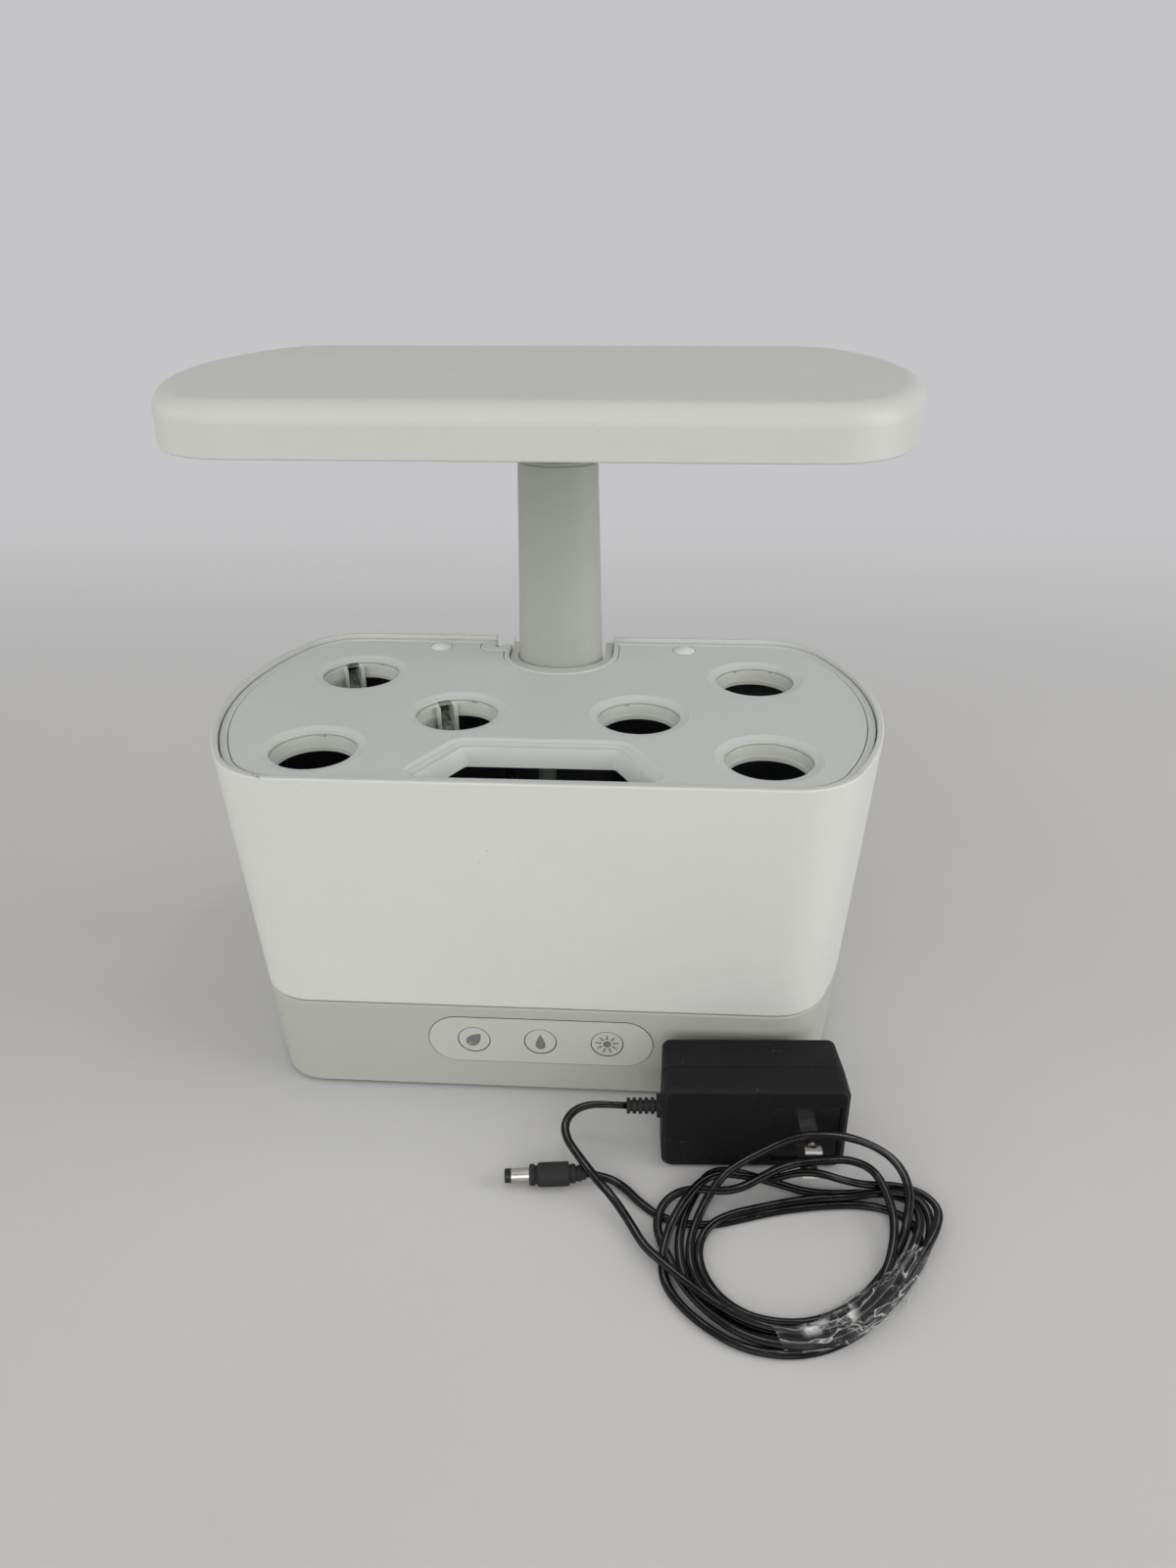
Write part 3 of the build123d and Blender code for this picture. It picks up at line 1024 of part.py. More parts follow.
def plug_body():
    x0 = PLUG_BARREL_L
    points = [(0, 0), (0, 3.6), (0.6, 4.1), (1.8, 4.1), (2.2, 3.5), (3.0, 3.5), (3.4, 4.3), (4.4, PLUG_R),
              (15.0, PLUG_R), (15.4, 4.2), (15.4, 3.4), (16.3, 3.4), (16.3, 3.7), (17.9, 3.5),
              (17.9, 2.8), (18.7, 2.8), (18.7, 3.2), (20.2, 3.0), (20.2, 2.5), (PLUG_BODY_L, 2.3),
              (PLUG_BODY_L, 0)]
    body = revolve(make_face(Polyline(*points, close=True)), axis=Axis.X)
    return PLUG_FRAME * (Pos(x0, 0, 0) * body)


def plug_tail():
    tail = PLUG_FRAME * (Pos(PLUG_BARREL_L + PLUG_BODY_L - 0.4, 0, 0) * Vertex(0, 0, 0))
    return tuple(tail.center())


def cord_coil():
    ring = Ellipse(COIL_OUT_A, COIL_OUT_B) - Ellipse(COIL_IN_A, COIL_IN_B)
    body = extrude(Pos(COIL_X, COIL_Y, 0) * ring, amount=COIL_H, dir=(0, 0, 1))
    return fillet(at_height(body, COIL_H) + at_height(body, 0), COIL_ROUND)


def cord_radii(points):
    """The largest even arc at each corner: 0.45 of the shorter run over tan(half the turn)."""
    radii = []
    for before, here, after in zip(points, points[1:], points[2:]):
        run_in, run_out = Vector(here) - Vector(before), Vector(after) - Vector(here)
        half_turn = radians(run_in.get_angle(run_out) / 2)
        radii.append(0.45 * min(run_in.length, run_out.length) / tan(half_turn))
    return radii


def cord_tube(name, points):
    radii = cord_radii(points)
    print(name, "radii", [round(r, 1) for r in radii])
    path = Wire(FilletPolyline(*points, radius=radii).edges())
    tube = sweep(Plane(origin=path @ 0, z_dir=path % 0) * Circle(CORD_R), path=path)
    print(name, "volume", round(tube.volume), "section x length", round(pi * CORD_R ** 2 * path.length),
          "length", round(path.length, 1))
    return tube


# ---- build ---------------------------------------------------------------------------------
def group(shapes):
    return Compound(children=list(shapes))


def build_base():
    save("base_shell", base_shell())
    save("base_floor", base_floor())
    save("feet", group(feet()))
    save("floor_screws", group(floor_screws()))
    save("panel_cover", panel_cover())
    save("control_board", control_board())
    save("tact_switches", group(tact_switches()))
    save("status_leds", group(status_leds()))
    save("board_screws", group(board_screws()))
    save("dc_jack", dc_jack())
    save("power_board", power_board())
    save("base_wiring", group(base_wiring()))
    save("outer_tube", outer_tube())
    save("post_bush", post_bush())
    save("post_screws", group([post_screw(z, 0.0) for z in POST_SCREW_Z]))
    for name, x in zip(("food_button", "water_button", "light_button"), BUTTON_X):
        save(name, button(x))


def build_lamp():
    save("inner_tube", inner_tube())
    save("slider_shoe", slider_shoe())
    save("hood_shell", hood_shell())
    save("hood_bezel", hood_bezel())
    save("diffuser", diffuser())
    save("led_board", led_board())
    save("leds", group(leds()))
    save("hood_bracket", hood_bracket())
    save("hood_screws", group(hood_screws()))
    save("lamp_lead", lamp_lead())


def build_bowl():
    save("casing", casing())
    save("tub", tub())
    save("pump_body", pump_body())
    save("pump_strainer", pump_strainer())
    save("pump_foam", pump_foam())
    save("impeller", impeller())
    save("riser_tube", riser_tube())
    save("pump_lead", pump_lead())


def build_deck():
    save("deck_ring", deck_ring())
    save("deck_plate", deck_plate())
    save("pod_collars", group(pod_collars()))
    save("deck_pips", group(deck_pips()))
    save("water_trough", water_trough())


def build_adapter():
    save("adapter_front", adapter_front())
    save("adapter_back", adapter_back())
    save("blade_carrier", blade_carrier())
    save("prong_blades", group(prong_blades()))
    save("adapter_board", adapter_board())
    relief, body, coil = strain_relief(), plug_body(), cord_coil()
    save("strain_relief", relief)
    save("cord_coil", coil)
    save("cord_start", cord_tube("cord_start", [relief_tip()] + CORD_START) - coil - relief)
    save("cord_end", cord_tube("cord_end", [plug_tail()] + CORD_END) - coil - body)
    save("plug_barrel", plug_barrel())
    save("plug_insulator", plug_insulator())
    save("plug_body", body)


build_base()
build_lamp()
build_bowl()
build_deck()
build_adapter()
print(len(SOLIDS), "nodes")
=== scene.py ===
import json
import math
import bmesh
import bpy
from mathutils import Matrix, Vector, noise


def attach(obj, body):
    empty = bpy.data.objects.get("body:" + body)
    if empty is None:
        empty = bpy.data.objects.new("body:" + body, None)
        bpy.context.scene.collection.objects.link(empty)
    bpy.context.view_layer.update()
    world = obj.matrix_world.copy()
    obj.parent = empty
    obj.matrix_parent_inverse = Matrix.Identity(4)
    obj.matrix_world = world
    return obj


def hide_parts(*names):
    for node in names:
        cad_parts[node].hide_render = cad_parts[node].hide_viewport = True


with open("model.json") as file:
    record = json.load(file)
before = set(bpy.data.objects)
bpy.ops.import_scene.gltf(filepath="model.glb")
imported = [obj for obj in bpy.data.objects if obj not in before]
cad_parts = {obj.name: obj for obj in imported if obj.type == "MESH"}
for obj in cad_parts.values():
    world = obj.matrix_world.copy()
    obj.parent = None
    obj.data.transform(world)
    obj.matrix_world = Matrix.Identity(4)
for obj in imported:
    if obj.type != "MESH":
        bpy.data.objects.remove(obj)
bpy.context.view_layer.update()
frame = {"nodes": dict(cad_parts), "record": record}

bl_info = {
    "name": "Countertop Hydroponic Garden",
    "version": (1, 0, 0),
    "blender": (4, 5, 0),
    "location": "View3D > Sidebar > Garden",
    "description": "Dresses the solids of a six pod countertop garden: its mains lead, prints and finishes",
    "category": "Object",
}


def tone(red, green, blue):
    """A colour as a screen shows it, 0 to 255, as the linear numbers that a shader takes."""
    def linear(level):
        level /= 255
        return level / 12.92 if level <= 0.04045 else ((level + 0.055) / 1.055) ** 2.4
    return (linear(red), linear(green), linear(blue), 1.0)


# ---- sizes and colours ---------------------------------------------------------------------

def colour(name, description, default):
    return bpy.props.FloatVectorProperty(name=name, description=description, default=default,
                                         size=4, min=0, max=1, subtype="COLOR")


def length(name, description, default):
    return bpy.props.FloatProperty(name=name, description=description, default=default,
                                   min=0, unit="LENGTH", precision=5)


class GardenColours(bpy.types.PropertyGroup):
    shell: colour("Casing", "White moulding of the bowl's casing", tone(206, 207, 202))
    # The hood's white is the casing's white made darker: painted shade.
    hood: colour("Hood", "White moulding of the hood", tone(195, 195, 190))
    deck: colour("Deck", "Pale grey moulding of the deck", tone(208, 213, 209))
    base: colour("Base", "Grey moulding of the base", tone(173, 175, 167))
    # The post's grey is the base's grey made darker: painted shade under the hood.
    post: colour("Post", "Grey moulding of the post", tone(167, 170, 163))
    panel: colour("Panel", "Cover and buttons of the control panel", tone(186, 187, 178))
    collar: colour("Collar", "Pod collars and fill port under the deck", tone(208, 211, 203))
    # The pips' grey is the deck's grey made lighter: painted highlight on the domes.
    pip: colour("Pip", "Two small domes at the back of the deck", tone(224, 227, 221))
    black: colour("Black moulding", "Mains adapter and plug", tone(19, 19, 21))
    tub: colour("Tub", "Inner tub that holds the water", tone(84, 85, 88))
    lead: colour("Lead", "Jacket of the mains lead", tone(8, 8, 9))
    ink: colour("Ink", "Print on the buttons", tone(104, 107, 104))
    # Painted shade: thin dark rings laid in the gaps round the buttons and the panel cover.
    seal: colour("Gap shade", "Thin dark seals round the buttons and the panel", tone(42, 44, 40))
    metal: colour("Metal", "Plated blades and barrel", tone(196, 192, 184))
    floor: colour("Floor", "Surface that the garden stands on", tone(201, 200, 199))
    backdrop: colour("Backdrop", "What shows behind the floor", tone(197, 197, 199))


class GardenSizes(bpy.types.PropertyGroup):
    lead_width: length("Lead width", "Width of the flat twin lead", 0.0034)
    lead_height: length("Lead height", "Thickness of the flat twin lead", 0.0019)
    lead_length: length("Lead length", "From the strain relief to the plug", 1.64)
    tape_height: length("Tape height", "How far the clear tape stands over the floor", 0.0098)
    print_depth: length("Print depth", "Thickness of the ink on the buttons", 0.00004)
    # Depth of the painted gap shade under the buttons' faces.
    seal_depth: length("Seal depth", "How far the seals lie under the buttons' faces", 0.00003)
    grain: length("Grain", "Size of the fine texture on the mouldings", 0.0007)


class GardenLight(bpy.types.PropertyGroup):
    low: bpy.props.FloatProperty(name="Low light", description="Strength of the soft light from all sides",
                                 default=0.78, min=0)
    high: bpy.props.FloatProperty(name="High light", description="Strength of the soft light from above",
                                  default=0.438, min=0)
    front: bpy.props.FloatProperty(name="Front light", description="Power of the wide light in front",
                                   default=20.2, min=0, unit="POWER")
    right: bpy.props.FloatProperty(name="Right light", description="Power of the wide light at the right",
                                   default=17.7, min=0, unit="POWER")
    left: bpy.props.FloatProperty(name="Left light", description="Power of the wide light at the left",
                                  default=6.8, min=0, unit="POWER")
    above: bpy.props.FloatProperty(name="Glint light", description="Power of the small light overhead",
                                   default=1.2, min=0, unit="POWER")


class GardenSettings(bpy.types.PropertyGroup):
    colours: bpy.props.PointerProperty(name="Colours", description="Colours of the mouldings", type=GardenColours)
    sizes: bpy.props.PointerProperty(name="Sizes", description="Sizes of the dressed pieces", type=GardenSizes)
    light: bpy.props.PointerProperty(name="Light", description="Studio light", type=GardenLight)


# ---- shader graphs -------------------------------------------------------------------------

class Value:
    """A number that varies over a surface. Sums of it add Math nodes."""

    def __init__(self, finish, socket):
        self.finish, self.socket = finish, socket

    def _math(self, operation, *terms):
        return self.finish.node("ShaderNodeMath", {"operation": operation}, dict(enumerate(terms)))

    def __add__(self, other):
        return self._math("ADD", self, other)

    def __sub__(self, other):
        return self._math("SUBTRACT", self, other)

    def __rsub__(self, other):
        return self._math("SUBTRACT", other, self)

    def __mul__(self, other):
        return self._math("MULTIPLY", self, other)

    def __truediv__(self, other):
        return self._math("DIVIDE", self, other)

    __radd__ = __add__
    __rmul__ = __mul__

    def most(self, other):
        return self._math("MAXIMUM", self, other)

    def least(self, other):
        return self._math("MINIMUM", self, other)

    def size(self):
        return self._math("ABSOLUTE", self)

    def step(self, low, high):
        """0 at low, 1 at high, and smooth between them."""
        return self.finish.node("ShaderNodeMapRange", {"interpolation_type": "SMOOTHSTEP"},
                                {"Value": self, "From Min": low, "From Max": high})


class Finish:
    """One material, or a world, and the nodes in it."""

    def __init__(self, name, kind="materials"):
        self.owner = getattr(bpy.data, kind).new(name)
        self.owner.use_nodes = True
        self.tree = self.owner.node_tree
        self.tree.nodes.clear()
        self.place = self.node("ShaderNodeTexCoord", out="Object" if kind == "materials" else "Generated")

    @staticmethod
    def _socket(sockets, key):
        if isinstance(key, int):
            return sockets[key]
        named = [s for s in sockets if s.identifier == key] or [s for s in sockets if s.name == key]
        if not named:
            raise KeyError(f"no socket {key} among {[s.identifier for s in sockets]}")
        return named[0]

    def node(self, kind, settings=None, values=None, out=0):
        """Adds a node of that kind: its settings first, then the values or links of its sockets."""
        made = self.tree.nodes.new(kind)
        for name, setting in (settings or {}).items():
            if name == "stops":
                ramp = made.color_ramp
                for position, shade in setting[len(ramp.elements):]:
                    ramp.elements.new(position)
                for element, (position, shade) in zip(ramp.elements, setting):
                    element.position, element.color = position, shade
            else:
                setattr(made, name, setting)
        for key, value in (values or {}).items():
            socket = self._socket(made.inputs, key)
            if isinstance(value, Value):
                self.tree.links.new(value.socket, socket)
            else:
                socket.default_value = value
        if not made.outputs:
            return None
        return Value(self, self._socket(made.outputs, out))

    def mix(self, amount, first, second):
        return self.node("ShaderNodeMix", {"data_type": "RGBA"},
                         {"Factor_Float": amount, "A_Color": first, "B_Color": second}, "Result_Color")

    def cloud(self, size, detail=2.0, at=None):
        """Noise whose patches are about that size, in metres."""
        return self.node("ShaderNodeTexNoise", {"noise_dimensions": "3D"},
                         {"Vector": at or self.place, "Scale": 1 / size, "Detail": detail}, "Fac")

    def stretched(self, scale, place=None, shift=(0.0, 0.0, 0.0)):
        return self.node("ShaderNodeMapping", {"vector_type": "POINT"},
                         {"Vector": place or self.place, "Scale": scale, "Location": shift}, "Vector")

    def axes(self):
        return [self.node("ShaderNodeSeparateXYZ", {}, {"Vector": self.place}, axis) for axis in "XYZ"]

    def edges(self, radius):
        """Near 1 along edges and corners."""
        rounded = self.node("ShaderNodeBevel", {"samples": 4}, {"Radius": radius}, "Normal")
        flat = self.node("ShaderNodeNewGeometry", out="Normal")
        same = self.node("ShaderNodeVectorMath", {"operation": "DOT_PRODUCT"}, {0: rounded, 1: flat}, "Value")
        return (1 - same).step(0.02, 0.25)

    def crevices(self, reach):
        """Near 1 deep in gaps and corners."""
        open_share = self.node("ShaderNodeAmbientOcclusion", {"samples": 6}, {"Distance": reach}, "AO")
        return (1 - open_share).step(0.35, 0.95)

    def stroke_mask(self, start, end, width):
        """A ragged mark from start to end, used for scratches, scuffs and a tide mark, and for painted shade and a
        painted highlight.
        """
        start, end = Vector(start), Vector(end)
        run = end - start
        off = self.node("ShaderNodeVectorMath", {"operation": "SUBTRACT"}, {0: self.place, 1: start}, "Vector")
        along = self.node("ShaderNodeVectorMath", {"operation": "DOT_PRODUCT"}, {0: off, 1: run}, "Value")
        share = (along / run.length_squared).most(0.0).least(1.0)
        at = self.node("ShaderNodeVectorMath", {"operation": "SCALE"}, {0: run, "Scale": share}, "Vector")
        gap = self.node("ShaderNodeVectorMath", {"operation": "DISTANCE"}, {0: off, 1: at}, "Value")
        ragged = self.cloud(width * 0.9, 3.0)
        return (1 - gap.step(width * 0.35, width)) * ragged.step(0.42, 0.62)

    def relief(self, height, distance, strength=1.0, under=None):
        values = {"Height": height, "Distance": distance, "Strength": strength}
        if under is not None:
            values["Normal"] = under
        return self.node("ShaderNodeBump", {}, values, "Normal")

    def seen(self):
        """1 for what is looked at straight, in a mirror or through clear plastic, 0 for what gives light."""
        straight, mirrored, through = (self.node("ShaderNodeLightPath", out=f"Is {kind} Ray")
                                       for kind in ("Camera", "Glossy", "Transmission"))
        return straight.most(mirrored).most(through)

    def done(self, behind=None, **sockets):
        """Closes the material with a Principled shader whose sockets take these values."""
        values = {name.replace("_", " "): value for name, value in sockets.items()}
        shader = self.node("ShaderNodeBsdfPrincipled", {}, values, "BSDF")
        if behind:
            share, plain = behind
            glow = self.node("ShaderNodeEmission", {}, {"Color": plain, "Strength": 1.0})
            shader = self.node("ShaderNodeMixShader", {}, {0: share, 1: shader, 2: glow})
        self.node("ShaderNodeOutputMaterial", {}, {"Surface": shader})
        return self.owner


def shade(base, amount):
    """The same colour, lighter above 1 and darker below."""
    return (*(min(1.0, part * amount) for part in base[:3]), 1.0)


def toward(base, other, amount):
    return (*(a + (b - a) * amount for a, b in zip(base[:3], other[:3])), 1.0)


# ---- finishes ------------------------------------------------------------------------------

def satin_moulding(name, base, grain, rough=0.46, wear_and_painted_light=1.0, marks=(), stain_and_shade=None):
    """Moulded plastic with a fine spark texture, faint clouding and dark specks; its edges are lighter, partly worn
    and partly painted highlight, and its gaps and corners are darker, partly dirt and partly painted shade.
    """
    finish = Finish(name)
    broad = finish.cloud(0.07, 3.0)
    fine = finish.cloud(0.006, 4.0)
    body = finish.mix(broad.step(0.3, 0.7), shade(base, 0.988), shade(base, 1.012))
    body = finish.mix(fine.step(0.35, 0.65) * 0.5, body, shade(base, 0.985))
    # Lighter edges and corners: partly worn, partly painted highlight.
    edge_wear_and_highlight = finish.edges(0.0006) * finish.cloud(0.004, 3.0).step(0.35, 0.7)
    body = finish.mix(edge_wear_and_highlight * (0.35 * wear_and_painted_light), body, toward(base, (1, 1, 1, 1), 0.35))
    # Darker gaps and corners found by ambient occlusion: partly dirt, partly painted shade.
    grime_and_shade = finish.crevices(0.004) * finish.cloud(0.009, 3.0).step(0.2, 0.8)
    body = finish.mix(grime_and_shade * (0.28 * wear_and_painted_light), body, shade(toward(base, tone(150, 146, 120), 0.35), 0.6))
    specks = finish.cloud(0.0011, 1.0).step(0.745, 0.775) * finish.cloud(0.03, 2.0).step(0.5, 0.7)
    body = finish.mix(specks * (0.5 * wear_and_painted_light), body, shade(base, 0.55))
    for mark, depth in marks:
        body = finish.mix(finish.stroke_mask(*mark) * depth, body, shade(toward(base, tone(120, 116, 104), 0.5), 0.45))
    if stain_and_shade is not None:
        body = stain_and_shade(finish, body)
    smooth = finish.cloud(0.02, 3.0)
    hairs = finish.cloud(0.0035, 2.0, finish.stretched((1.0, 9.0, 9.0)))
    roughness = rough + smooth * 0.07 + hairs.step(0.55, 0.75) * 0.05 - edge_wear_and_highlight * 0.1
    skin = finish.relief(finish.cloud(grain, 2.0), 0.00006, 0.35)
    skin = finish.relief(finish.cloud(0.05, 1.0), 0.0004, 0.03, skin)
    return finish.done(Base_Color=body, Roughness=roughness, Normal=skin, IOR=1.46)


HOOD_TOP = 0.284
RIM_TOP = 0.153
GIRTH = 0.0085          # round the twin lead
GROOVE = GIRTH * 8.5 / 18       # from its underside round to the groove on top
CHUTES = ((-0.0877, 0.0316), (-0.0376, -0.0096))     # middles of the pods that the water runs into
CHUTE_WAY = math.radians(118)
CHUTE_END = (0.030, 0.034)      # how far out a chute's darkening fades
LATCHES = ((-0.0877, 0.0316, 114), (-0.0877, 0.0316, 66), (-0.0877, -0.0471, 92), (-0.0376, -0.0096, 72),
           (0.0376, -0.0096, 108), (0.0877, 0.0316, 62), (0.0877, 0.0316, 118))     # a pod's middle, and degrees
LATCH_OUT, LATCH_HALF, LATCH_Z = 0.0164, 0.0007, 0.1486


def pod_marks_and_shade(finish, body):
    """Darker streaked patches on the floor of each chute, darker blotches low on the wall beside it, and painted
    shade in the latch notches at its back.
    """
    x, y, z = finish.axes()
    streaks = finish.cloud(0.0022, 4.0, finish.stretched((1.0, 1.0, 0.35)))
    blotch = finish.cloud(0.004, 4.0).step(0.40, 0.62)
    for centre_x, centre_y in CHUTES:
        out = (x - centre_x) * math.cos(CHUTE_WAY) + (y - centre_y) * math.sin(CHUTE_WAY)
        side = (y - centre_y) * math.cos(CHUTE_WAY) - (x - centre_x) * math.sin(CHUTE_WAY)
        near = 1 - out.step(*CHUTE_END)
        # Darker streaked patches on the floor of each chute.
        floor = (1 - side.size().step(0.00255, 0.00300)) * out.step(0.0118, 0.0126) * near
        body = finish.mix(floor * (0.50 + streaks.step(0.3, 0.7) * 0.45), body, tone(62, 67, 56))
        # Darker blotches low on the wall beside each chute.
        foot = side.step(0.0030, 0.0045) * (1 - side.step(0.011, 0.015)) * (1 - z.step(0.1370, 0.1450))
        body = finish.mix(foot * blotch * out.step(0.0, 0.006) * near * 0.7, body, tone(70, 75, 60))
    # Painted shade: small dark spots in the latch notches at the back of the pods.
    for centre_x, centre_y, angle in LATCHES:
        turn = math.radians(angle)
        spot_x, spot_y = centre_x + LATCH_OUT * math.cos(turn), centre_y + LATCH_OUT * math.sin(turn)
        ends = [(spot_x - side * LATCH_HALF * math.sin(turn), spot_y + side * LATCH_HALF * math.cos(turn), LATCH_Z)
                for side in (1, -1)]
        body = finish.mix(finish.stroke_mask(*ends, 0.0011) * 0.75, body, tone(84, 86, 74))
    return body


def port_stain(finish, body):
    """A faint green tide mark in the back left corner of the fill port."""
    mark = finish.stroke_mask((-0.0272, -0.0438, 0.149), (-0.0225, -0.0432, 0.149), 0.0022)
    return finish.mix(mark * 0.40, body, tone(150, 152, 96))


def black_moulding(name, base, rough, texture, depth, shine=0.18):
    """Black plastic with a spark eroded texture, dust on it, and a painted highlight along its edges."""
    finish = Finish(name)
    pits = finish.cloud(texture, 3.0)
    broad = finish.cloud(0.02, 3.0)
    dust = finish.cloud(0.0016, 2.0).step(0.66, 0.74) * finish.cloud(0.02, 2.0).step(0.45, 0.7)
    body = finish.mix(broad, shade(base, 0.8), shade(base, 1.25))
    # Painted highlight: edges lightened to three times the base colour.
    body = finish.mix(finish.edges(0.0005) * pits * 0.6, body, shade(base, 3.0))
    body = finish.mix(dust * 0.16, body, tone(150, 150, 148))
    roughness = rough + broad * 0.08 + pits * 0.08
    skin = finish.relief(pits, depth, 0.6)
    return finish.done(Base_Color=body, Roughness=roughness, Normal=skin, Specular_IOR_Level=shine)


def lead_jacket(base, twin=False):
    """Soft vinyl jacket with a dull shine and light scuffs; where it is a twin, a painted highlight along its
    groove and painted sheen in patches of fine lengthwise lines.
    """
    finish = Finish("twin_jacket" if twin else "lead_jacket")
    streak = finish.cloud(0.004, 3.0)
    worn = finish.cloud(0.0012, 3.0).step(0.6, 0.72) * finish.cloud(0.012, 2.0).step(0.45, 0.65)
    body = finish.mix(streak, shade(base, 0.75), shade(base, 1.25))
    body = finish.mix(worn * 0.14, body, tone(104, 104, 104))
    if twin:
        run = finish.node("ShaderNodeAttribute", {"attribute_name": "run"}, out="Vector")
        around = finish.node("ShaderNodeSeparateXYZ", {}, {"Vector": run}, "Y")
        # Painted sheen: patches of fine lighter lines along the lead.
        lines = finish.cloud(0.0004, 2.0, finish.stretched((0.03, 1.0, 1.0), run))
        patches = finish.cloud(0.011, 3.0).step(0.38, 0.60)
        # Painted highlight: a paler line along the groove between the cores.
        groove = 1 - (around - GROOVE).size().step(0.00018, 0.00042)
        body = finish.mix(groove * (0.25 + patches * 0.6), body, tone(112, 112, 116))
        body = finish.mix(lines.step(0.60, 0.70) * patches * 0.35, body, tone(92, 92, 96))
    skin = finish.relief(finish.cloud(0.0015, 3.0), 0.00003, 0.3)
    return finish.done(Base_Color=body, Roughness=0.15 + streak * 0.08 + worn * 0.2, Normal=skin,
                       Specular_IOR_Level=0.24)


def rubber(name, base):
    finish = Finish(name)
    dull = finish.cloud(0.003, 4.0)
    body = finish.mix(dull, shade(base, 0.8), shade(base, 1.5))
    skin = finish.relief(finish.cloud(0.0007, 3.0), 0.00008, 0.6)
    return finish.done(Base_Color=body, Roughness=0.62 + dull * 0.16, Normal=skin)


def plated_metal(name, base, rough):
    """Plated metal with drawn lines, small pits and dulled patches."""
    finish = Finish(name)
    drawn = finish.cloud(0.0012, 3.0, finish.stretched((1.0, 1.0, 14.0)))
    dull = finish.cloud(0.003, 4.0)
    body = finish.mix(dull, shade(base, 0.75), shade(base, 1.12))
    body = finish.mix(finish.cloud(0.0006, 2.0).step(0.7, 0.78) * 0.6, body, shade(base, 0.35))
    skin = finish.relief(drawn, 0.00003, 0.5)
    return finish.done(Base_Color=body, Metallic=1.0, Roughness=rough + dull * 0.15, Normal=skin)


def anodised_tube(base):
    finish = Finish("anodised_tube")
    drawn = finish.cloud(0.0007, 3.0, finish.stretched((6.0, 6.0, 0.15)))
    rings = finish.cloud(0.01, 3.0)
    body = finish.mix(drawn, shade(base, 0.82), shade(base, 1.06))
    skin = finish.relief(drawn, 0.00002, 0.5)
    return finish.done(Base_Color=body, Metallic=0.9, Roughness=0.32 + rings * 0.12, Normal=skin)


def board_mask(base):
    """Solder mask with copper tracks under it and bare pads."""
    finish = Finish("board_mask")
    tracks = finish.node("ShaderNodeTexVoronoi", {"feature": "DISTANCE_TO_EDGE"},
                         {"Vector": finish.place, "Scale": 420.0, "Randomness": 0.35}, "Distance")
    line = 1 - tracks.step(0.03, 0.07)
    pads = finish.node("ShaderNodeTexVoronoi", {"feature": "F1"},
                       {"Vector": finish.place, "Scale": 330.0, "Randomness": 0.2}, "Distance")
    pad = 1 - pads.step(0.10, 0.13)
    body = finish.mix(line * 0.5, base, shade(base, 1.8))
    body = finish.mix(pad, body, tone(186, 186, 180))
    skin = finish.relief(line + pad, 0.00003, 0.6)
    return finish.done(Base_Color=body, Roughness=0.28 + pad * 0.15, Metallic=pad * 0.8, Normal=skin)


def light_chip():
    """Phosphor window in a white frame."""
    finish = Finish("light_chip")
    grain = finish.cloud(0.0004, 3.0)
    body = finish.mix(grain, tone(224, 196, 96), tone(240, 222, 140))
    skin = finish.relief(grain, 0.00004, 0.5)
    return finish.done(Base_Color=body, Roughness=0.34 + grain * 0.1, Normal=skin)


def frosted_lens():
    """Frosted sheet with a fine prism pattern that spreads the light."""
    finish = Finish("frosted_lens")
    prisms = finish.node("ShaderNodeTexVoronoi", {"feature": "F1"},
                         {"Vector": finish.place, "Scale": 480.0, "Randomness": 0.0}, "Distance")
    haze = finish.cloud(0.02, 3.0)
    body = finish.mix(haze, tone(222, 224, 222), tone(236, 238, 236))
    skin = finish.relief(prisms, 0.0002, 0.5)
    return finish.done(Base_Color=body, Roughness=0.34 + haze * 0.12, Normal=skin, Alpha=0.70 + prisms * 0.12)


def open_foam():
    finish = Finish("open_foam")
    cells = finish.node("ShaderNodeTexVoronoi", {"feature": "F1"},
                        {"Vector": finish.place, "Scale": 900.0, "Randomness": 1.0}, "Distance")
    body = finish.mix(cells, tone(30, 30, 31), tone(74, 74, 76))
    skin = finish.relief(cells, 0.0006, 1.0)
    return finish.done(Base_Color=body, Roughness=0.9 - cells * 0.1, Normal=skin)


def clear_tube_wall():
    finish = Finish("clear_tube_wall")
    haze = finish.cloud(0.006, 3.0)
    body = finish.mix(haze, tone(206, 212, 206), tone(224, 228, 224))
    skin = finish.relief(haze, 0.0002, 0.2)
    return finish.done(Base_Color=body, Roughness=0.16 + haze * 0.1, Alpha=0.42 + haze * 0.25, Normal=skin)


def flat_coat(name, base):
    """Screen printed ink, a little thin in places; the painted gap shade takes the same finish."""
    finish = Finish(name)
    thin = finish.cloud(0.0009, 3.0)
    body = finish.mix(thin.step(0.35, 0.75), base, shade(base, 1.3))
    skin = finish.relief(finish.cloud(0.0003, 2.0), 0.00002, 0.5)
    return finish.done(Base_Color=body, Roughness=0.5 + thin * 0.1, Normal=skin)


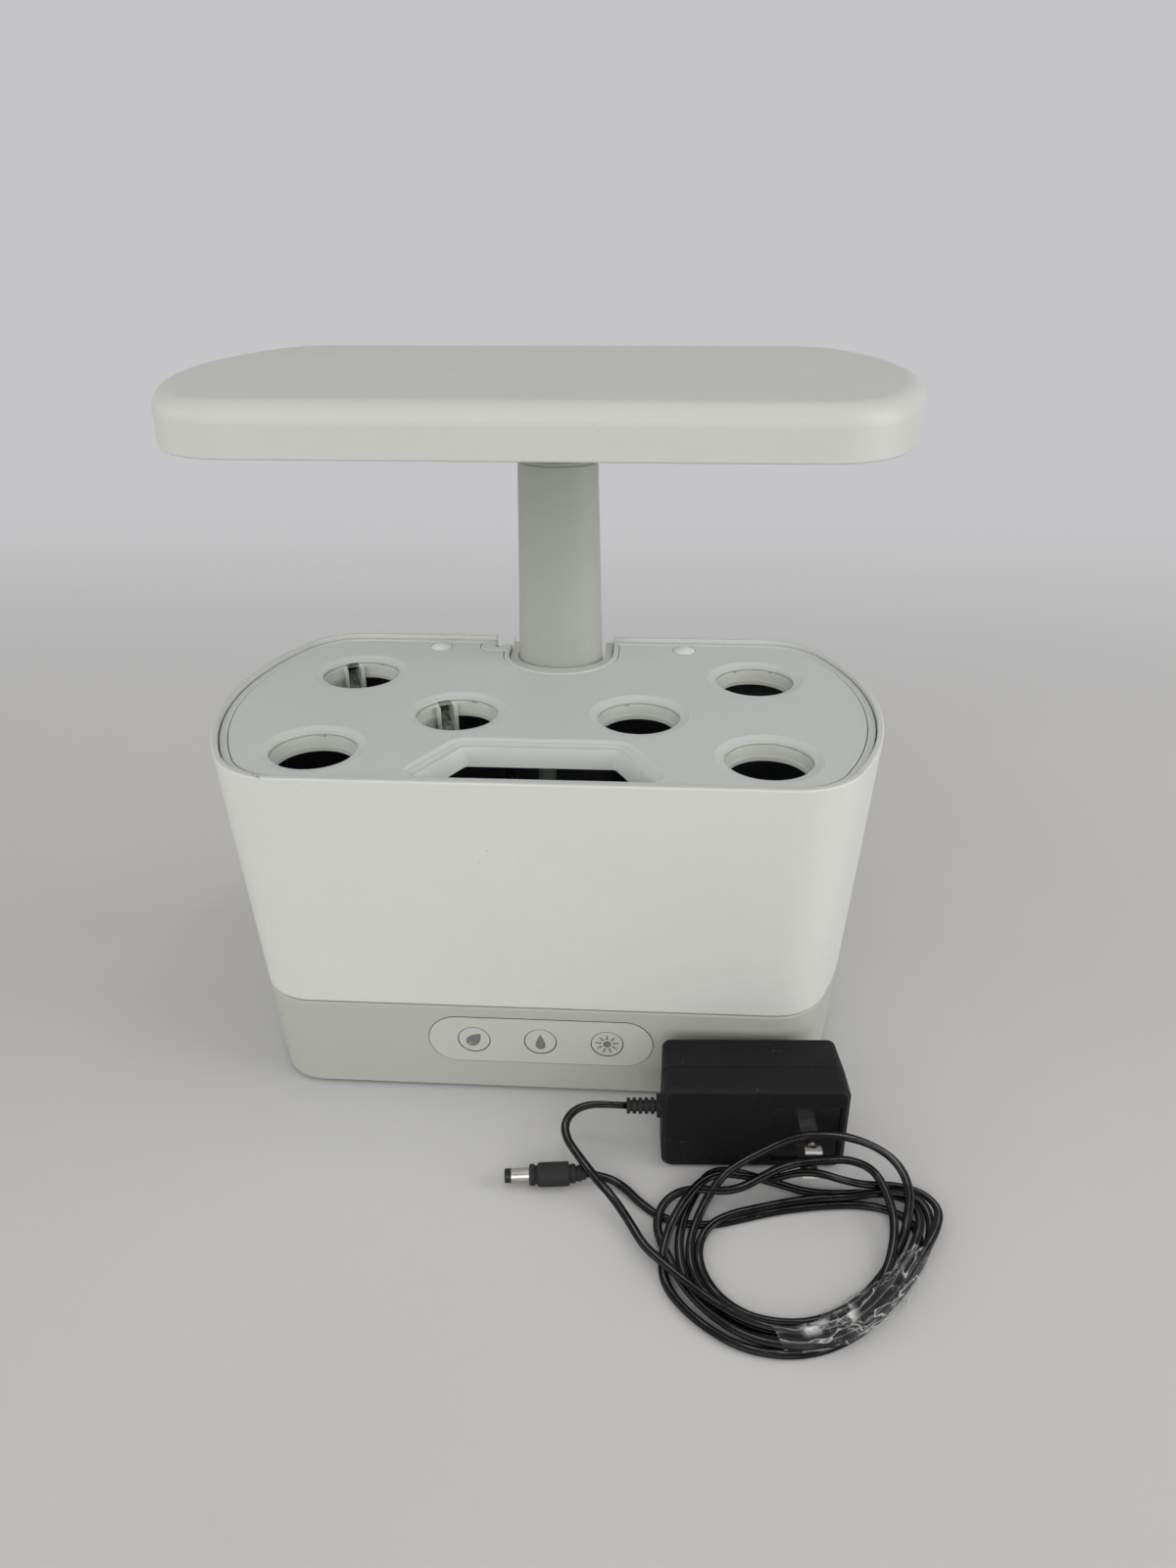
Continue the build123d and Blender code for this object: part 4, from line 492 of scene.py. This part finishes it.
def crumpled_film():
    """Clear packing tape: see-through where it lies flat, with painted highlights along thin creases that run along
    it and one painted highlight patch.
    """
    finish = Finish("crumpled_film")
    run = finish.node("ShaderNodeAttribute", {"attribute_name": "run"}, out="Vector")
    haze = finish.cloud(0.007, 3.0)

    def fold_glints(width, long, shift, sharp):
        """Thin wavy lines, where stretched noise crosses its middle."""
        at = finish.stretched((width / long, 1.0, 1.0), run, (shift, shift, 0.0))
        return 1 - (finish.cloud(width, 2.0, at) - 0.5).size().step(0.0, sharp)

    broad = fold_glints(0.0042, 0.022, 0.3, 0.020)
    fine = fold_glints(0.0021, 0.013, 1.7, 0.022) * haze.step(0.42, 0.60)
    slack = fold_glints(0.0060, 0.0075, 3.1, 0.012) * haze.step(0.46, 0.62)
    # Painted highlight: one bright patch on the film.
    glare = finish.stroke_mask((0.1000, -0.1800, 0.0085), (0.1120, -0.1752, 0.0085), 0.0062)
    # The crease lines are painted highlights, whiter and more opaque than the film.
    lines = broad.most(fine * 0.8).most(slack * 0.7)
    body = finish.mix(lines.most(glare), tone(158, 158, 157), tone(238, 238, 236))
    wrinkled = finish.cloud(0.0030, 3.0, finish.stretched((0.35, 1.0, 1.0), run))
    skin = finish.relief(wrinkled, 0.0022, 0.9)
    # Opacity rises under the painted highlights.
    veil = 0.05 + lines * 0.40 + glare * 0.6 + haze.step(0.45, 0.75) * 0.16
    return finish.done(Base_Color=body, Roughness=0.07 + haze * 0.10, Normal=skin, IOR=1.45, Alpha=veil.least(0.92))


def studio_floor(base, back):
    """Pale painted board with faint mottling and worn patches."""
    finish = Finish("studio_floor")
    broad = finish.cloud(0.35, 4.0)
    fine = finish.cloud(0.02, 4.0)
    body = finish.mix(broad.step(0.3, 0.7), shade(base, 0.97), shade(base, 1.02))
    body = finish.mix(fine * 0.25, body, shade(base, 0.96))
    far = finish.axes()[1].step(0.22, 0.95)
    skin = finish.relief(fine, 0.0001, 0.3)
    return finish.done((far * finish.seen(), back), Base_Color=body, Roughness=0.50 + broad * 0.1, Normal=skin,
                       Specular_IOR_Level=0.3)


# ---- mesh helpers --------------------------------------------------------------------------

def new_piece(name, vertices, faces, material, smooth=True):
    """A mesh with its normals outward and one material."""
    mesh = bpy.data.meshes.new(name)
    mesh.from_pydata([tuple(v) for v in vertices], [], faces)
    shape = bmesh.new()
    shape.from_mesh(mesh)
    bmesh.ops.recalc_face_normals(shape, faces=shape.faces)
    for face in shape.faces:
        face.smooth = smooth
    shape.to_mesh(mesh)
    shape.free()
    piece = bpy.data.objects.new(name, mesh)
    piece.data.materials.append(material)
    bpy.context.scene.collection.objects.link(piece)
    return piece


def band(low, count):
    """The faces between a closed ring of vertices that starts at low and the next ring."""
    return [(low + j, low + (j + 1) % count, low + count + (j + 1) % count, low + count + j) for j in range(count)]


def line_through(name, points):
    """The smooth line of a route: one NURBS spline with the route's points as its control points."""
    curve = bpy.data.curves.new(name, "CURVE")
    curve.dimensions = "3D"
    curve.resolution_u = 6
    spline = curve.splines.new("NURBS")
    spline.points.add(len(points) - 1)
    for knot, point in zip(spline.points, points):
        knot.co = (*point, 1.0)
    spline.order_u = 3
    spline.use_endpoint_u = True
    holder = bpy.data.objects.new(name, curve)
    bpy.context.scene.collection.objects.link(holder)
    bpy.context.view_layer.update()
    mesh = bpy.data.meshes.new_from_object(holder.evaluated_get(bpy.context.evaluated_depsgraph_get()))
    line = [v.co.copy() for v in mesh.vertices]
    bpy.data.objects.remove(holder)
    bpy.data.curves.remove(curve)
    bpy.data.meshes.remove(mesh)
    return line


def swept(line, section, roll):
    """Rings of the section along a line, with its width held level and rolled a little."""
    vertices, faces = [], []
    count = len(section)
    for i, point in enumerate(line):
        ahead = (line[min(i + 1, len(line) - 1)] - line[max(i - 1, 0)]).normalized()
        side = ahead.cross(Vector((0, 0, 1))).normalized()
        up = side.cross(ahead)
        turn = Matrix.Rotation(roll(i / (len(line) - 1), point), 3, ahead)
        side, up = turn @ side, turn @ up
        vertices += [point + side * a + up * b for a, b in section]
        if i:
            faces += band((i - 1) * count, count)
    last = len(vertices) - count
    faces += [tuple(range(count - 1, -1, -1)), tuple(range(last, last + count))]
    return vertices, faces


def lay_run(piece, places, count, girth):
    """Stores at each corner how far it lies along a swept piece, and how far round it."""
    run = piece.data.attributes.new("run", "FLOAT_VECTOR", "CORNER")
    for face in piece.data.polygons:
        corners = [piece.data.loops[i].vertex_index for i in face.loop_indices]
        steps = [corner % count for corner in corners]
        seam = max(steps) - min(steps) > count / 2
        for i, corner, step in zip(face.loop_indices, corners, steps):
            run.data[i].vector = (places[corner // count], girth * (step / count + (seam and step == 0)), 0)


def twin_section(width, height):
    """Two round cores side by side with a groove between them."""
    radius = height / 2
    centre = width / 2 - radius
    points = []
    for side in (1, -1):
        for step in range(9):
            angle = math.radians(-128 + 32 * step) + (0 if side > 0 else math.pi)
            points.append((side * centre + radius * math.cos(angle), radius * math.sin(angle)))
    return points


def finish_nodes(slot_name, material, only=None):
    """Gives every node of one of the record's slots its material."""
    for part in frame["record"]["subparts"]:
        if part["material_slot"] == slot_name and (only is None or part["node"] in only):
            mesh = frame["nodes"][part["node"]].data
            mesh.materials.clear()
            mesh.materials.append(material)


# ---- the mains lead ------------------------------------------------------------------------

# the line of the lead, in tenths of a millimetre
TRACED = (
    (367, -955, 200), (288, -948, 195), (214, -936, 180), (154, -948, 157), (121, -996, 131), (134, -1054, 110),
    (180, -1120, 98), (254, -1222, 87), (325, -1288, 58), (392, -1374, 27), (446, -1484, 32), (515, -1560, 45),
    (595, -1642, 50), (680, -1708, 44), (775, -1762, 37), (880, -1794, 33), (990, -1804, 32), (1100, -1783, 33),
    (1200, -1723, 35), (1290, -1630, 37), (1370, -1518, 42), (1432, -1412, 49), (1466, -1316, 50),
    (1450, -1228, 37), (1380, -1184, 23), (1280, -1176, 15), (1170, -1186, 13), (1060, -1182, 12), (950, -1144, 13),
    (840, -1108, 14), (750, -1094, 17), (686, -1124, 21), (648, -1204, 26), (612, -1288, 30), (582, -1380, 30),
    (570, -1484, 24), (590, -1600, 17), (635, -1686, 13), (705, -1754, 12), (795, -1804, 14), (900, -1830, 19),
    (1010, -1832, 24), (1115, -1808, 29), (1215, -1750, 31), (1310, -1660, 30), (1395, -1550, 29),
    (1466, -1436, 27), (1504, -1330, 33), (1492, -1238, 46), (1420, -1196, 51), (1320, -1198, 42),
    (1215, -1216, 34), (1105, -1222, 28), (995, -1244, 26), (885, -1280, 28), (776, -1316, 31), (690, -1368, 30),
    (646, -1446, 24), (642, -1532, 18), (672, -1616, 14), (728, -1688, 13), (806, -1736, 12), (900, -1756, 12),
    (1004, -1752, 13), (1106, -1716, 13), (1198, -1650, 12), (1280, -1560, 12), (1348, -1460, 12),
    (1396, -1374, 16), (1420, -1310, 39), (1441, -1217, 86), (1403, -1142, 143), (1312, -1122, 204),
    (1195, -1135, 262), (1099, -1145, 274), (1006, -1158, 272), (909, -1170, 222), (814, -1186, 164),
    (734, -1200, 96), (674, -1272, 38), (638, -1358, 27), (614, -1444, 24), (612, -1536, 21), (640, -1624, 17),
    (696, -1700, 15), (776, -1758, 13), (874, -1790, 12), (980, -1796, 14), (1084, -1770, 17), (1178, -1708, 21),
    (1256, -1620, 27), (1314, -1520, 31), (1350, -1420, 36), (1366, -1324, 51), (1352, -1232, 80),
    (1315, -1142, 105), (1225, -1123, 132), (1120, -1154, 154), (1028, -1174, 158), (955, -1185, 138),
    (878, -1204, 98), (802, -1236, 72), (724, -1244, 63), (632, -1226, 54), (554, -1246, 42), (502, -1310, 31),
    (492, -1394, 23), (516, -1476, 24), (548, -1560, 32), (594, -1654, 30), (660, -1734, 29), (744, -1800, 28),
    (842, -1842, 30), (950, -1856, 34), (1058, -1846, 41), (1160, -1800, 47), (1254, -1720, 49), (1346, -1610, 49),
    (1436, -1480, 48), (1510, -1364, 47), (1546, -1264, 42), (1498, -1184, 40), (1400, -1162, 50),
    (1286, -1196, 76), (1190, -1208, 109), (1100, -1213, 148), (1018, -1209, 144), (925, -1193, 80),
    (830, -1158, 56), (736, -1144, 55), (664, -1196, 68), (608, -1278, 73), (560, -1364, 65), (524, -1456, 46),
    (510, -1550, 16), (528, -1636, 12), (584, -1718, 12), (660, -1788, 13), (754, -1848, 13), (860, -1874, 13),
    (970, -1872, 12), (1080, -1838, 12), (1184, -1774, 12), (1278, -1684, 12), (1364, -1572, 12), (1430, -1460, 12),
    (1458, -1362, 13), (1422, -1286, 13), (1342, -1244, 13), (1240, -1232, 13), (1130, -1244, 13),
    (1024, -1262, 13), (914, -1288, 12), (806, -1324, 12), (710, -1356, 12), (620, -1364, 13), (506, -1336, 13),
    (428, -1270, 13), (368, -1202, 17), (302, -1168, 32), (218, -1166, 46),
)
LEAD_ROUTE = [tuple(tenths / 10000 for tenths in point) for point in TRACED]

# the clear tape's inner and outer edge on the floor, and how high it stands between them as a share
TAPE = [
    ((0.0859, -0.1762), (0.0911, -0.1868), 0.62), ((0.0927, -0.1768), (0.0982, -0.1875), 0.72),
    ((0.1007, -0.1755), (0.1072, -0.1868), 0.84), ((0.1074, -0.1690), (0.1146, -0.1844), 0.92),
    ((0.1140, -0.1642), (0.1224, -0.1798), 0.98), ((0.1210, -0.1602), (0.1292, -0.1742), 1.00),
    ((0.1268, -0.1560), (0.1351, -0.1686), 0.96), ((0.1303, -0.1513), (0.1398, -0.1621), 0.90),
    ((0.1342, -0.1472), (0.1436, -0.1546), 0.84), ((0.1384, -0.1428), (0.1466, -0.1480), 0.78),
]
TAPE_ACROSS, TAPE_ALONG = 44, 10        # vertices round it, and rings between two of its rows
TAPE_GIRTH = 0.030


class GARDEN_OT_camera(bpy.types.Operator):
    """Places the camera in front of the garden, a little above its lamp"""
    bl_idname = "garden.camera"
    bl_label = "Camera"

    def execute(self, context):
        lens = bpy.data.cameras.new("camera")
        lens.lens, lens.sensor_width, lens.sensor_fit = 25.875, 36.0, "AUTO"
        lens.clip_start, lens.clip_end = 0.02, 40.0
        camera = bpy.data.objects.new("camera", lens)
        camera.location = (0.04336, -0.43304, 0.33921)
        camera.rotation_euler = [math.radians(a) for a in (62.508, 0.270, 3.480)]
        context.scene.collection.objects.link(camera)
        context.scene.camera = camera
        return {"FINISHED"}


class GARDEN_OT_lead(bpy.types.Operator):
    """Makes the flat twin lead from the adapter's strain relief through its loose coil to the plug"""
    bl_idname = "garden.lead"
    bl_label = "Mains lead"

    def execute(self, context):
        settings = context.scene.garden
        line = line_through("lead_line", LEAD_ROUTE)

        def roll(share, point):
            return 0.55 * noise.noise(Vector((share * 34, 3.1, 7.7))) + 0.25 * noise.noise(point * 60)

        section = twin_section(settings.sizes.lead_width, settings.sizes.lead_height)
        vertices, faces = swept(line, section, roll)
        lead = new_piece("mains_lead", vertices, faces, lead_jacket(settings.colours.lead, True))
        gone = [0.0]
        for before, after in zip(line, line[1:]):
            gone.append(gone[-1] + (after - before).length)
        lay_run(lead, gone, len(section), GIRTH)
        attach(lead, "base")
        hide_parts("cord_start", "cord_coil", "cord_end")
        tape = self.tape(settings)
        return {"FINISHED"}

    def tape(self, settings):
        """A strip of clear tape crumpled round the front right of the coil."""
        rings = (len(TAPE) - 1) * TAPE_ALONG + 1
        vertices, faces, places = [], [], []
        travelled, before = 0.0, None
        for ring in range(rings):
            whole = min(ring // TAPE_ALONG, len(TAPE) - 2)
            share = ring / TAPE_ALONG - whole
            (inner_a, outer_a, tall_a), (inner_b, outer_b, tall_b) = TAPE[whole], TAPE[whole + 1]
            inner, outer = (Vector((*a, 0)).lerp(Vector((*b, 0)), share)
                            for a, b in ((inner_a, inner_b), (outer_a, outer_b)))
            tall = settings.sizes.tape_height * (tall_a + (tall_b - tall_a) * share)
            middle, reach = (inner + outer) / 2, (outer - inner) / 2
            if before is not None:
                travelled += (middle - before).length
            before = middle
            torn = noise.noise(Vector((ring * 0.9, 4.4, 1.2))) * 0.10
            for step in range(TAPE_ACROSS):
                angle = 2 * math.pi * step / TAPE_ACROSS - math.pi / 2
                x, y = math.cos(angle), math.sin(angle)
                spot = Vector((travelled * 70, x * 1.7, y * 1.7))
                pleat = abs(noise.noise(Vector((travelled * 60, x * 4.2 + 9, y * 4.2))))
                size = 0.92 + noise.noise(spot) * 0.22 + noise.noise(spot * 2.6) * 0.12 - pleat * 0.34
                full = 0.30 + 0.70 * min(1.0, max(0.0, (x + 1.0) / 0.75))
                height = tall * full / 2 * (1 + y * size)
                lateral = x * (size * 0.85 + 0.15 + (torn if x < 0 else 0))
                vertices.append(middle + reach * lateral + Vector((0, 0, max(0.0002, height))))
            places.append(travelled)
            if ring:
                faces += band((ring - 1) * TAPE_ACROSS, TAPE_ACROSS)
        tape = new_piece("coil_tape", vertices, faces, crumpled_film())
        lay_run(tape, places, TAPE_ACROSS, TAPE_GIRTH)
        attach(tape, "base")
        return tape


# ---- the prints on the buttons -------------------------------------------------------------

OUTWARD = Vector((0, -0.99776, -0.06685)).normalized()
UPWARD = Vector((1, 0, 0)).cross(OUTWARD) * -1
# Thin dark rings of painted shade, laid just under the faces in the gaps round the buttons and the panel cover.
BUTTON_GAP_SHADE = (6.57, 7.08)                      # inner and outer radius, in millimetres
PANEL_GAP_SHADE = ((93.02, 24.02), (93.56, 24.56))   # width and height of its inner and outer edge
PANEL_GAP_SHADE_LIFT = -0.00012
GAP_SHADE_HEIGHT = 0.0006


def round_outline(radius, count):
    return [(radius * math.cos(a), radius * math.sin(a)) for a in (2 * math.pi * i / count for i in range(count))]


def leaf_outline():
    """A broad pointed leaf that leans to the right, with a slit where its stalk comes in."""
    edge = []
    for along, across in round_outline(1.0, 56):
        breadth = 0.31 * across * (1 - 0.35 * along) * (1 - math.exp(-6 * (1 - abs(along))))
        edge.append((0.5 * along, breadth))
    left = edge.index(min(edge))
    edge = edge[:left] + [(-0.46, 0.034), (-0.12, 0.026), (-0.47, -0.030)] + edge[left + 1:]
    turn, size = math.radians(50), 8.5
    return [(size * (x * math.cos(turn) - y * math.sin(turn)), size * (x * math.sin(turn) + y * math.cos(turn)))
            for x, y in edge]


def drop_outline():
    """A water drop: a round foot drawn up to a point."""
    points = []
    for step in range(48):
        angle = 2 * math.pi * step / 48
        pinch = math.sin(angle / 2) ** 1.6
        points.append((3.0 * math.sin(angle) * pinch, 4.2 * math.cos(angle) + 0.1))
    return points


def sun_outlines(count=9):
    """A disc and the tapering rays round it."""
    outlines = [round_outline(1.75, 36)]
    for i in range(count):
        a = math.pi / 2 + 2 * math.pi * i / count
        out, side = Vector((math.cos(a), math.sin(a))), Vector((-math.sin(a), math.cos(a)))
        near, far = out * 2.50, out * 4.95
        outlines.append([tuple(near + side * 0.50), tuple(near - side * 0.50), tuple(far - side * 0.22),
                         tuple(far + side * 0.22)])
    return outlines


def pill_outline(width, height, count=36):
    """A slot with round ends."""
    radius, reach = height / 2, (width - height) / 2
    ends = []
    for side in (1, -1):
        for step in range(count + 1):
            a = math.pi * (step / count - 0.5) + (0 if side > 0 else math.pi)
            ends.append((side * reach + radius * math.cos(a), radius * math.sin(a)))
    return ends


class GARDEN_OT_prints(bpy.types.Operator):
    """Prints a leaf, a drop and a sun on the three buttons and lays thin dark rings of painted shade in the gaps
    round them and the panel
    """
    bl_idname = "garden.prints"
    bl_label = "Button prints and seals"

    def execute(self, context):
        settings = context.scene.garden
        ink = flat_coat("flat_coat", settings.colours.ink)
        # Finish of the dark rings of painted shade in the gaps.
        seal = flat_coat("seal_rubber", settings.colours.seal)
        for node, outlines in (("food_button", [leaf_outline()]), ("water_button", [drop_outline()]),
                               ("light_button", sun_outlines())):
            lay = self.face_of(node)
            vertices, faces = [], []
            for outline in outlines:
                self.plate(vertices, faces, outline, lay, settings.sizes.print_depth)
            icon = new_piece(node.replace("button", "print"), vertices, faces, ink, smooth=False)
            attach(icon, node)
            # A dark ring of painted shade in the gap round the button.
            edges = [round_outline(radius, 80) for radius in BUTTON_GAP_SHADE]
            self.seal(node.replace("button", "seal"), *edges, lay, -settings.sizes.seal_depth, seal)
        edges = [pill_outline(*size) for size in PANEL_GAP_SHADE]
        self.seal("panel_seal", *edges, self.face_of("panel_cover"), PANEL_GAP_SHADE_LIFT, seal)
        return {"FINISHED"}

    def face_of(self, node):
        """Places millimetres across and up, and a lift in metres, on the front face of a node."""
        tops = [v.co for v in frame["nodes"][node].data.vertices]
        reach = max(v.dot(OUTWARD) for v in tops)
        face = [v for v in tops if v.dot(OUTWARD) > reach - 0.00003]
        low, high = (Vector(pick(v[axis] for v in face) for axis in range(3)) for pick in (min, max))
        middle = (low + high) / 2
        middle += OUTWARD * (reach - middle.dot(OUTWARD))
        return lambda x, y, lift: middle + Vector((x / 1000, 0, 0)) + UPWARD * (y / 1000) + OUTWARD * lift

    def plate(self, vertices, faces, outline, lay, depth):
        """Adds an outline that stands depth over the face."""
        base, count = len(vertices), len(outline)
        vertices += [lay(x, y, lift) for lift in (0.0, depth) for x, y in outline]
        faces += [tuple(range(base + count, base + 2 * count)), tuple(range(base + count - 1, base - 1, -1))]
        faces += band(base, count)

    def seal(self, name, inner, outer, lay, lift, material):
        """A closed strip between two outlines, with its top at the lift."""
        count, levels = len(inner), (lift - GAP_SHADE_HEIGHT, lift)
        vertices = [lay(x, y, level) for edge in (inner, outer) for level in levels for x, y in edge]
        faces = []
        for j in range(count):
            k = (j + 1) % count
            for a, b in ((1, 3), (3, 2), (2, 0), (0, 1)):
                faces.append((a * count + j, a * count + k, b * count + k, b * count + j))
        ring = new_piece(name, vertices, faces, material, smooth=False)
        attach(ring, "base")


# ---- finishes on the mouldings and the rest ------------------------------------------------

class GARDEN_OT_mouldings(bpy.types.Operator):
    """Gives the bowl, hood, deck, base and post their satin mouldings"""
    bl_idname = "garden.mouldings"
    bl_label = "Mouldings"

    def execute(self, context):
        hues, grain = context.scene.garden.colours, context.scene.garden.sizes.grain
        hood_marks = [(((0.0905, -0.0805, HOOD_TOP), (0.0913, -0.0975, HOOD_TOP), 0.0009), 0.75),
                      (((0.0870, -0.0620, HOOD_TOP), (0.0790, -0.0560, HOOD_TOP), 0.0005), 0.35),
                      (((-0.060, 0.010, HOOD_TOP), (-0.052, 0.013, HOOD_TOP), 0.0004), 0.3)]
        bowl_marks = [(((-0.1046, -0.0728, RIM_TOP), (-0.0990, -0.0766, RIM_TOP), 0.0012), 0.7),
                      (((-0.1074, -0.0690, 0.1420), (-0.1050, -0.0705, 0.1405), 0.0007), 0.8),
                      (((-0.0840, 0.0714, RIM_TOP), (-0.0822, 0.0714, RIM_TOP), 0.0008), 0.8),
                      (((0.0560, 0.0745, RIM_TOP), (0.0600, 0.0745, RIM_TOP), 0.0006), 0.5)]
        hood = satin_moulding("hood_moulding", hues.hood, grain, 0.40, 0.8, hood_marks)
        bowl = satin_moulding("bowl_moulding", hues.shell, grain, 0.44, 1.0, bowl_marks)
        deck = satin_moulding("deck_moulding", hues.deck, grain, 0.42, 1.0)
        collars = satin_moulding("collar_moulding", hues.collar, grain, 0.42, 1.3, (), pod_marks_and_shade)
        base = satin_moulding("base_moulding", hues.base, grain, 0.48, 1.0)
        post = satin_moulding("post_moulding", hues.post, grain, 0.40, 0.7)
        panel = satin_moulding("panel_moulding", hues.panel, grain, 0.42, 0.6)
        finish_nodes("shell_white", hood, ("hood_shell", "hood_bezel", "hood_bracket"))
        finish_nodes("shell_white", bowl, ("casing",))
        # The pips take the lighter copy of the deck's grey: painted highlight.
        finish_nodes("shell_white", satin_moulding("pip_moulding", hues.pip, grain, 0.36, 1.2), ("deck_pips",))
        finish_nodes("deck_grey", deck)
        finish_nodes("deck_grey", collars, ("pod_collars", "water_trough"))
        finish_nodes("deck_grey", satin_moulding("plate_moulding", hues.deck, grain, 0.42, 1.0, (), port_stain),
                     ("deck_plate",))
        finish_nodes("base_grey", base)
        finish_nodes("post_grey", post)
        finish_nodes("panel", panel)
        finish_nodes("button", panel)
        finish_nodes("rotor", satin_moulding("rotor_moulding", tone(96, 98, 102), grain, 0.4))
        return {"FINISHED"}


class GARDEN_OT_black_parts(bpy.types.Operator):
    """Gives the tub, adapter, plug, feet and leads their black plastics and rubber"""
    bl_idname = "garden.black_parts"
    bl_label = "Black parts"

    def execute(self, context):
        hues = context.scene.garden.colours
        finish_nodes("tub_black", black_moulding("tub_moulding", hues.tub, 0.40, 0.0009, 0.00008, 0.4))
        textured = black_moulding("textured_black", hues.black, 0.46, 0.00045, 0.00012)
        finish_nodes("black_plastic", textured)
        finish_nodes("switch", textured)
        finish_nodes("black_plastic", black_moulding("glossy_black", hues.black, 0.24, 0.003, 0.00002, 0.4),
                     ("blade_carrier", "plug_insulator"))
        finish_nodes("black_rubber", rubber("moulded_rubber", hues.black))
        finish_nodes("cord_black", lead_jacket(hues.lead))
        finish_nodes("foam", open_foam())
        return {"FINISHED"}


class GARDEN_OT_hardware(bpy.types.Operator):
    """Gives the screws, blades, tube, boards and lamp parts their materials"""
    bl_idname = "garden.hardware"
    bl_label = "Hardware"

    def execute(self, context):
        hues = context.scene.garden.colours
        finish_nodes("screw_steel", plated_metal("screw_steel", tone(150, 150, 152), 0.34))
        finish_nodes("blade_metal", plated_metal("blade_metal", hues.metal, 0.22))
        finish_nodes("inner_tube", anodised_tube(tone(196, 197, 198)))
        finish_nodes("circuit_board", board_mask(tone(34, 92, 54)))
        finish_nodes("led", light_chip())
        finish_nodes("lens", frosted_lens())
        finish_nodes("clear_tube", clear_tube_wall())
        return {"FINISHED"}


# ---- stage ---------------------------------------------------------------------------------

class GARDEN_OT_stage(bpy.types.Operator):
    """Lays a pale floor and sets wide soft lights and a pale background"""
    bl_idname = "garden.stage"
    bl_label = "Stage"

    def execute(self, context):
        settings = context.scene.garden
        floor = self.sweep(studio_floor(settings.colours.floor, settings.colours.backdrop))
        self.light("front_light", settings.light.front, (2.4, 1.4), (-0.35, -2.1, 0.95))
        self.light("right_light", settings.light.right, (1.4, 1.4), (1.9, -0.35, 0.75))
        self.light("left_light", settings.light.left, (1.4, 1.4), (-1.9, -0.35, 0.75))
        self.light("glint_light", settings.light.above, (0.35, 0.10), (0.20, -0.10, 1.6))
        context.scene.world = self.surroundings(settings)
        context.scene.view_settings.view_transform = "Standard"
        return {"FINISHED"}

    def sweep(self, material):
        """A floor that turns up into a backdrop far behind the garden."""
        bend, start, rise = 0.9, 0.95, 3.2
        profile = [(-9.0, 0.0), (-3.0, 0.0), (0.0, 0.0), (start, 0.0)]
        profile += [(start + bend * math.sin(a), bend - bend * math.cos(a))
                    for a in (math.pi / 2 * i / 24 for i in range(1, 25))]
        profile.append((start + bend, rise))
        vertices = [(x, y, z) for y, z in profile for x in (-9.0, 9.0)]
        faces = [(2 * i, 2 * i + 1, 2 * i + 3, 2 * i + 2) for i in range(len(profile) - 1)]
        return new_piece("floor", vertices, faces, material)

    def light(self, name, power, size, at):
        """A soft rectangle of light that faces the garden."""
        lamp = bpy.data.lights.new(name, "AREA")
        lamp.shape, lamp.size, lamp.size_y, lamp.energy = "RECTANGLE", size[0], size[1], power
        holder = bpy.data.objects.new(name, lamp)
        holder.location = at
        holder.rotation_euler = (Vector((0, 0, 0.12)) - Vector(at)).to_track_quat("-Z", "Y").to_euler()
        bpy.context.scene.collection.objects.link(holder)

    def surroundings(self, settings):
        """Soft light that is weaker from above than from the sides, behind a plain pale background."""
        studio = Finish("studio", "worlds")
        height = studio.axes()[2]
        low, high = ((level, level * 0.996, level * 0.99, 1) for level in (settings.light.low, settings.light.high))
        glow = studio.mix(height.step(0.10, 0.85), low, high)
        soft = studio.node("ShaderNodeBackground", {}, {"Color": glow, "Strength": 1.0})
        seen = studio.node("ShaderNodeBackground", {}, {"Color": settings.colours.backdrop, "Strength": 1.0})
        both = studio.node("ShaderNodeMixShader", {}, {0: studio.seen(), 1: soft, 2: seen})
        studio.node("ShaderNodeOutputWorld", {}, {"Surface": both})
        return studio.owner


class GARDEN_PT_panel(bpy.types.Panel):
    """Lists the steps and the sizes and colours that they use"""
    bl_idname = "GARDEN_PT_panel"
    bl_label = "Hydroponic garden"
    bl_space_type = "VIEW_3D"
    bl_region_type = "UI"
    bl_category = "Garden"

    def draw(self, context):
        settings = context.scene.garden
        for step in STEPS:
            self.layout.operator(step.bl_idname)
        for group in (settings.sizes, settings.colours, settings.light):
            box = self.layout.box()
            for name in group.bl_rna.properties.keys():
                if name not in ("rna_type", "name"):
                    box.prop(group, name)


STEPS = (GARDEN_OT_camera, GARDEN_OT_lead, GARDEN_OT_mouldings, GARDEN_OT_black_parts, GARDEN_OT_hardware,
         GARDEN_OT_prints, GARDEN_OT_stage)
CLASSES = (GardenColours, GardenSizes, GardenLight, GardenSettings, *STEPS, GARDEN_PT_panel)


def register():
    for made in CLASSES:
        bpy.utils.register_class(made)
    bpy.types.Scene.garden = bpy.props.PointerProperty(name="Garden", description="Sizes and colours of the garden",
                                                       type=GardenSettings)


def unregister():
    del bpy.types.Scene.garden
    for made in reversed(CLASSES):
        bpy.utils.unregister_class(made)


def main():
    register()
    bpy.ops.garden.camera()
    bpy.ops.garden.lead()
    bpy.ops.garden.mouldings()
    bpy.ops.garden.black_parts()
    bpy.ops.garden.hardware()
    bpy.ops.garden.prints()
    bpy.ops.garden.stage()


if __name__ == "__main__":
    main()
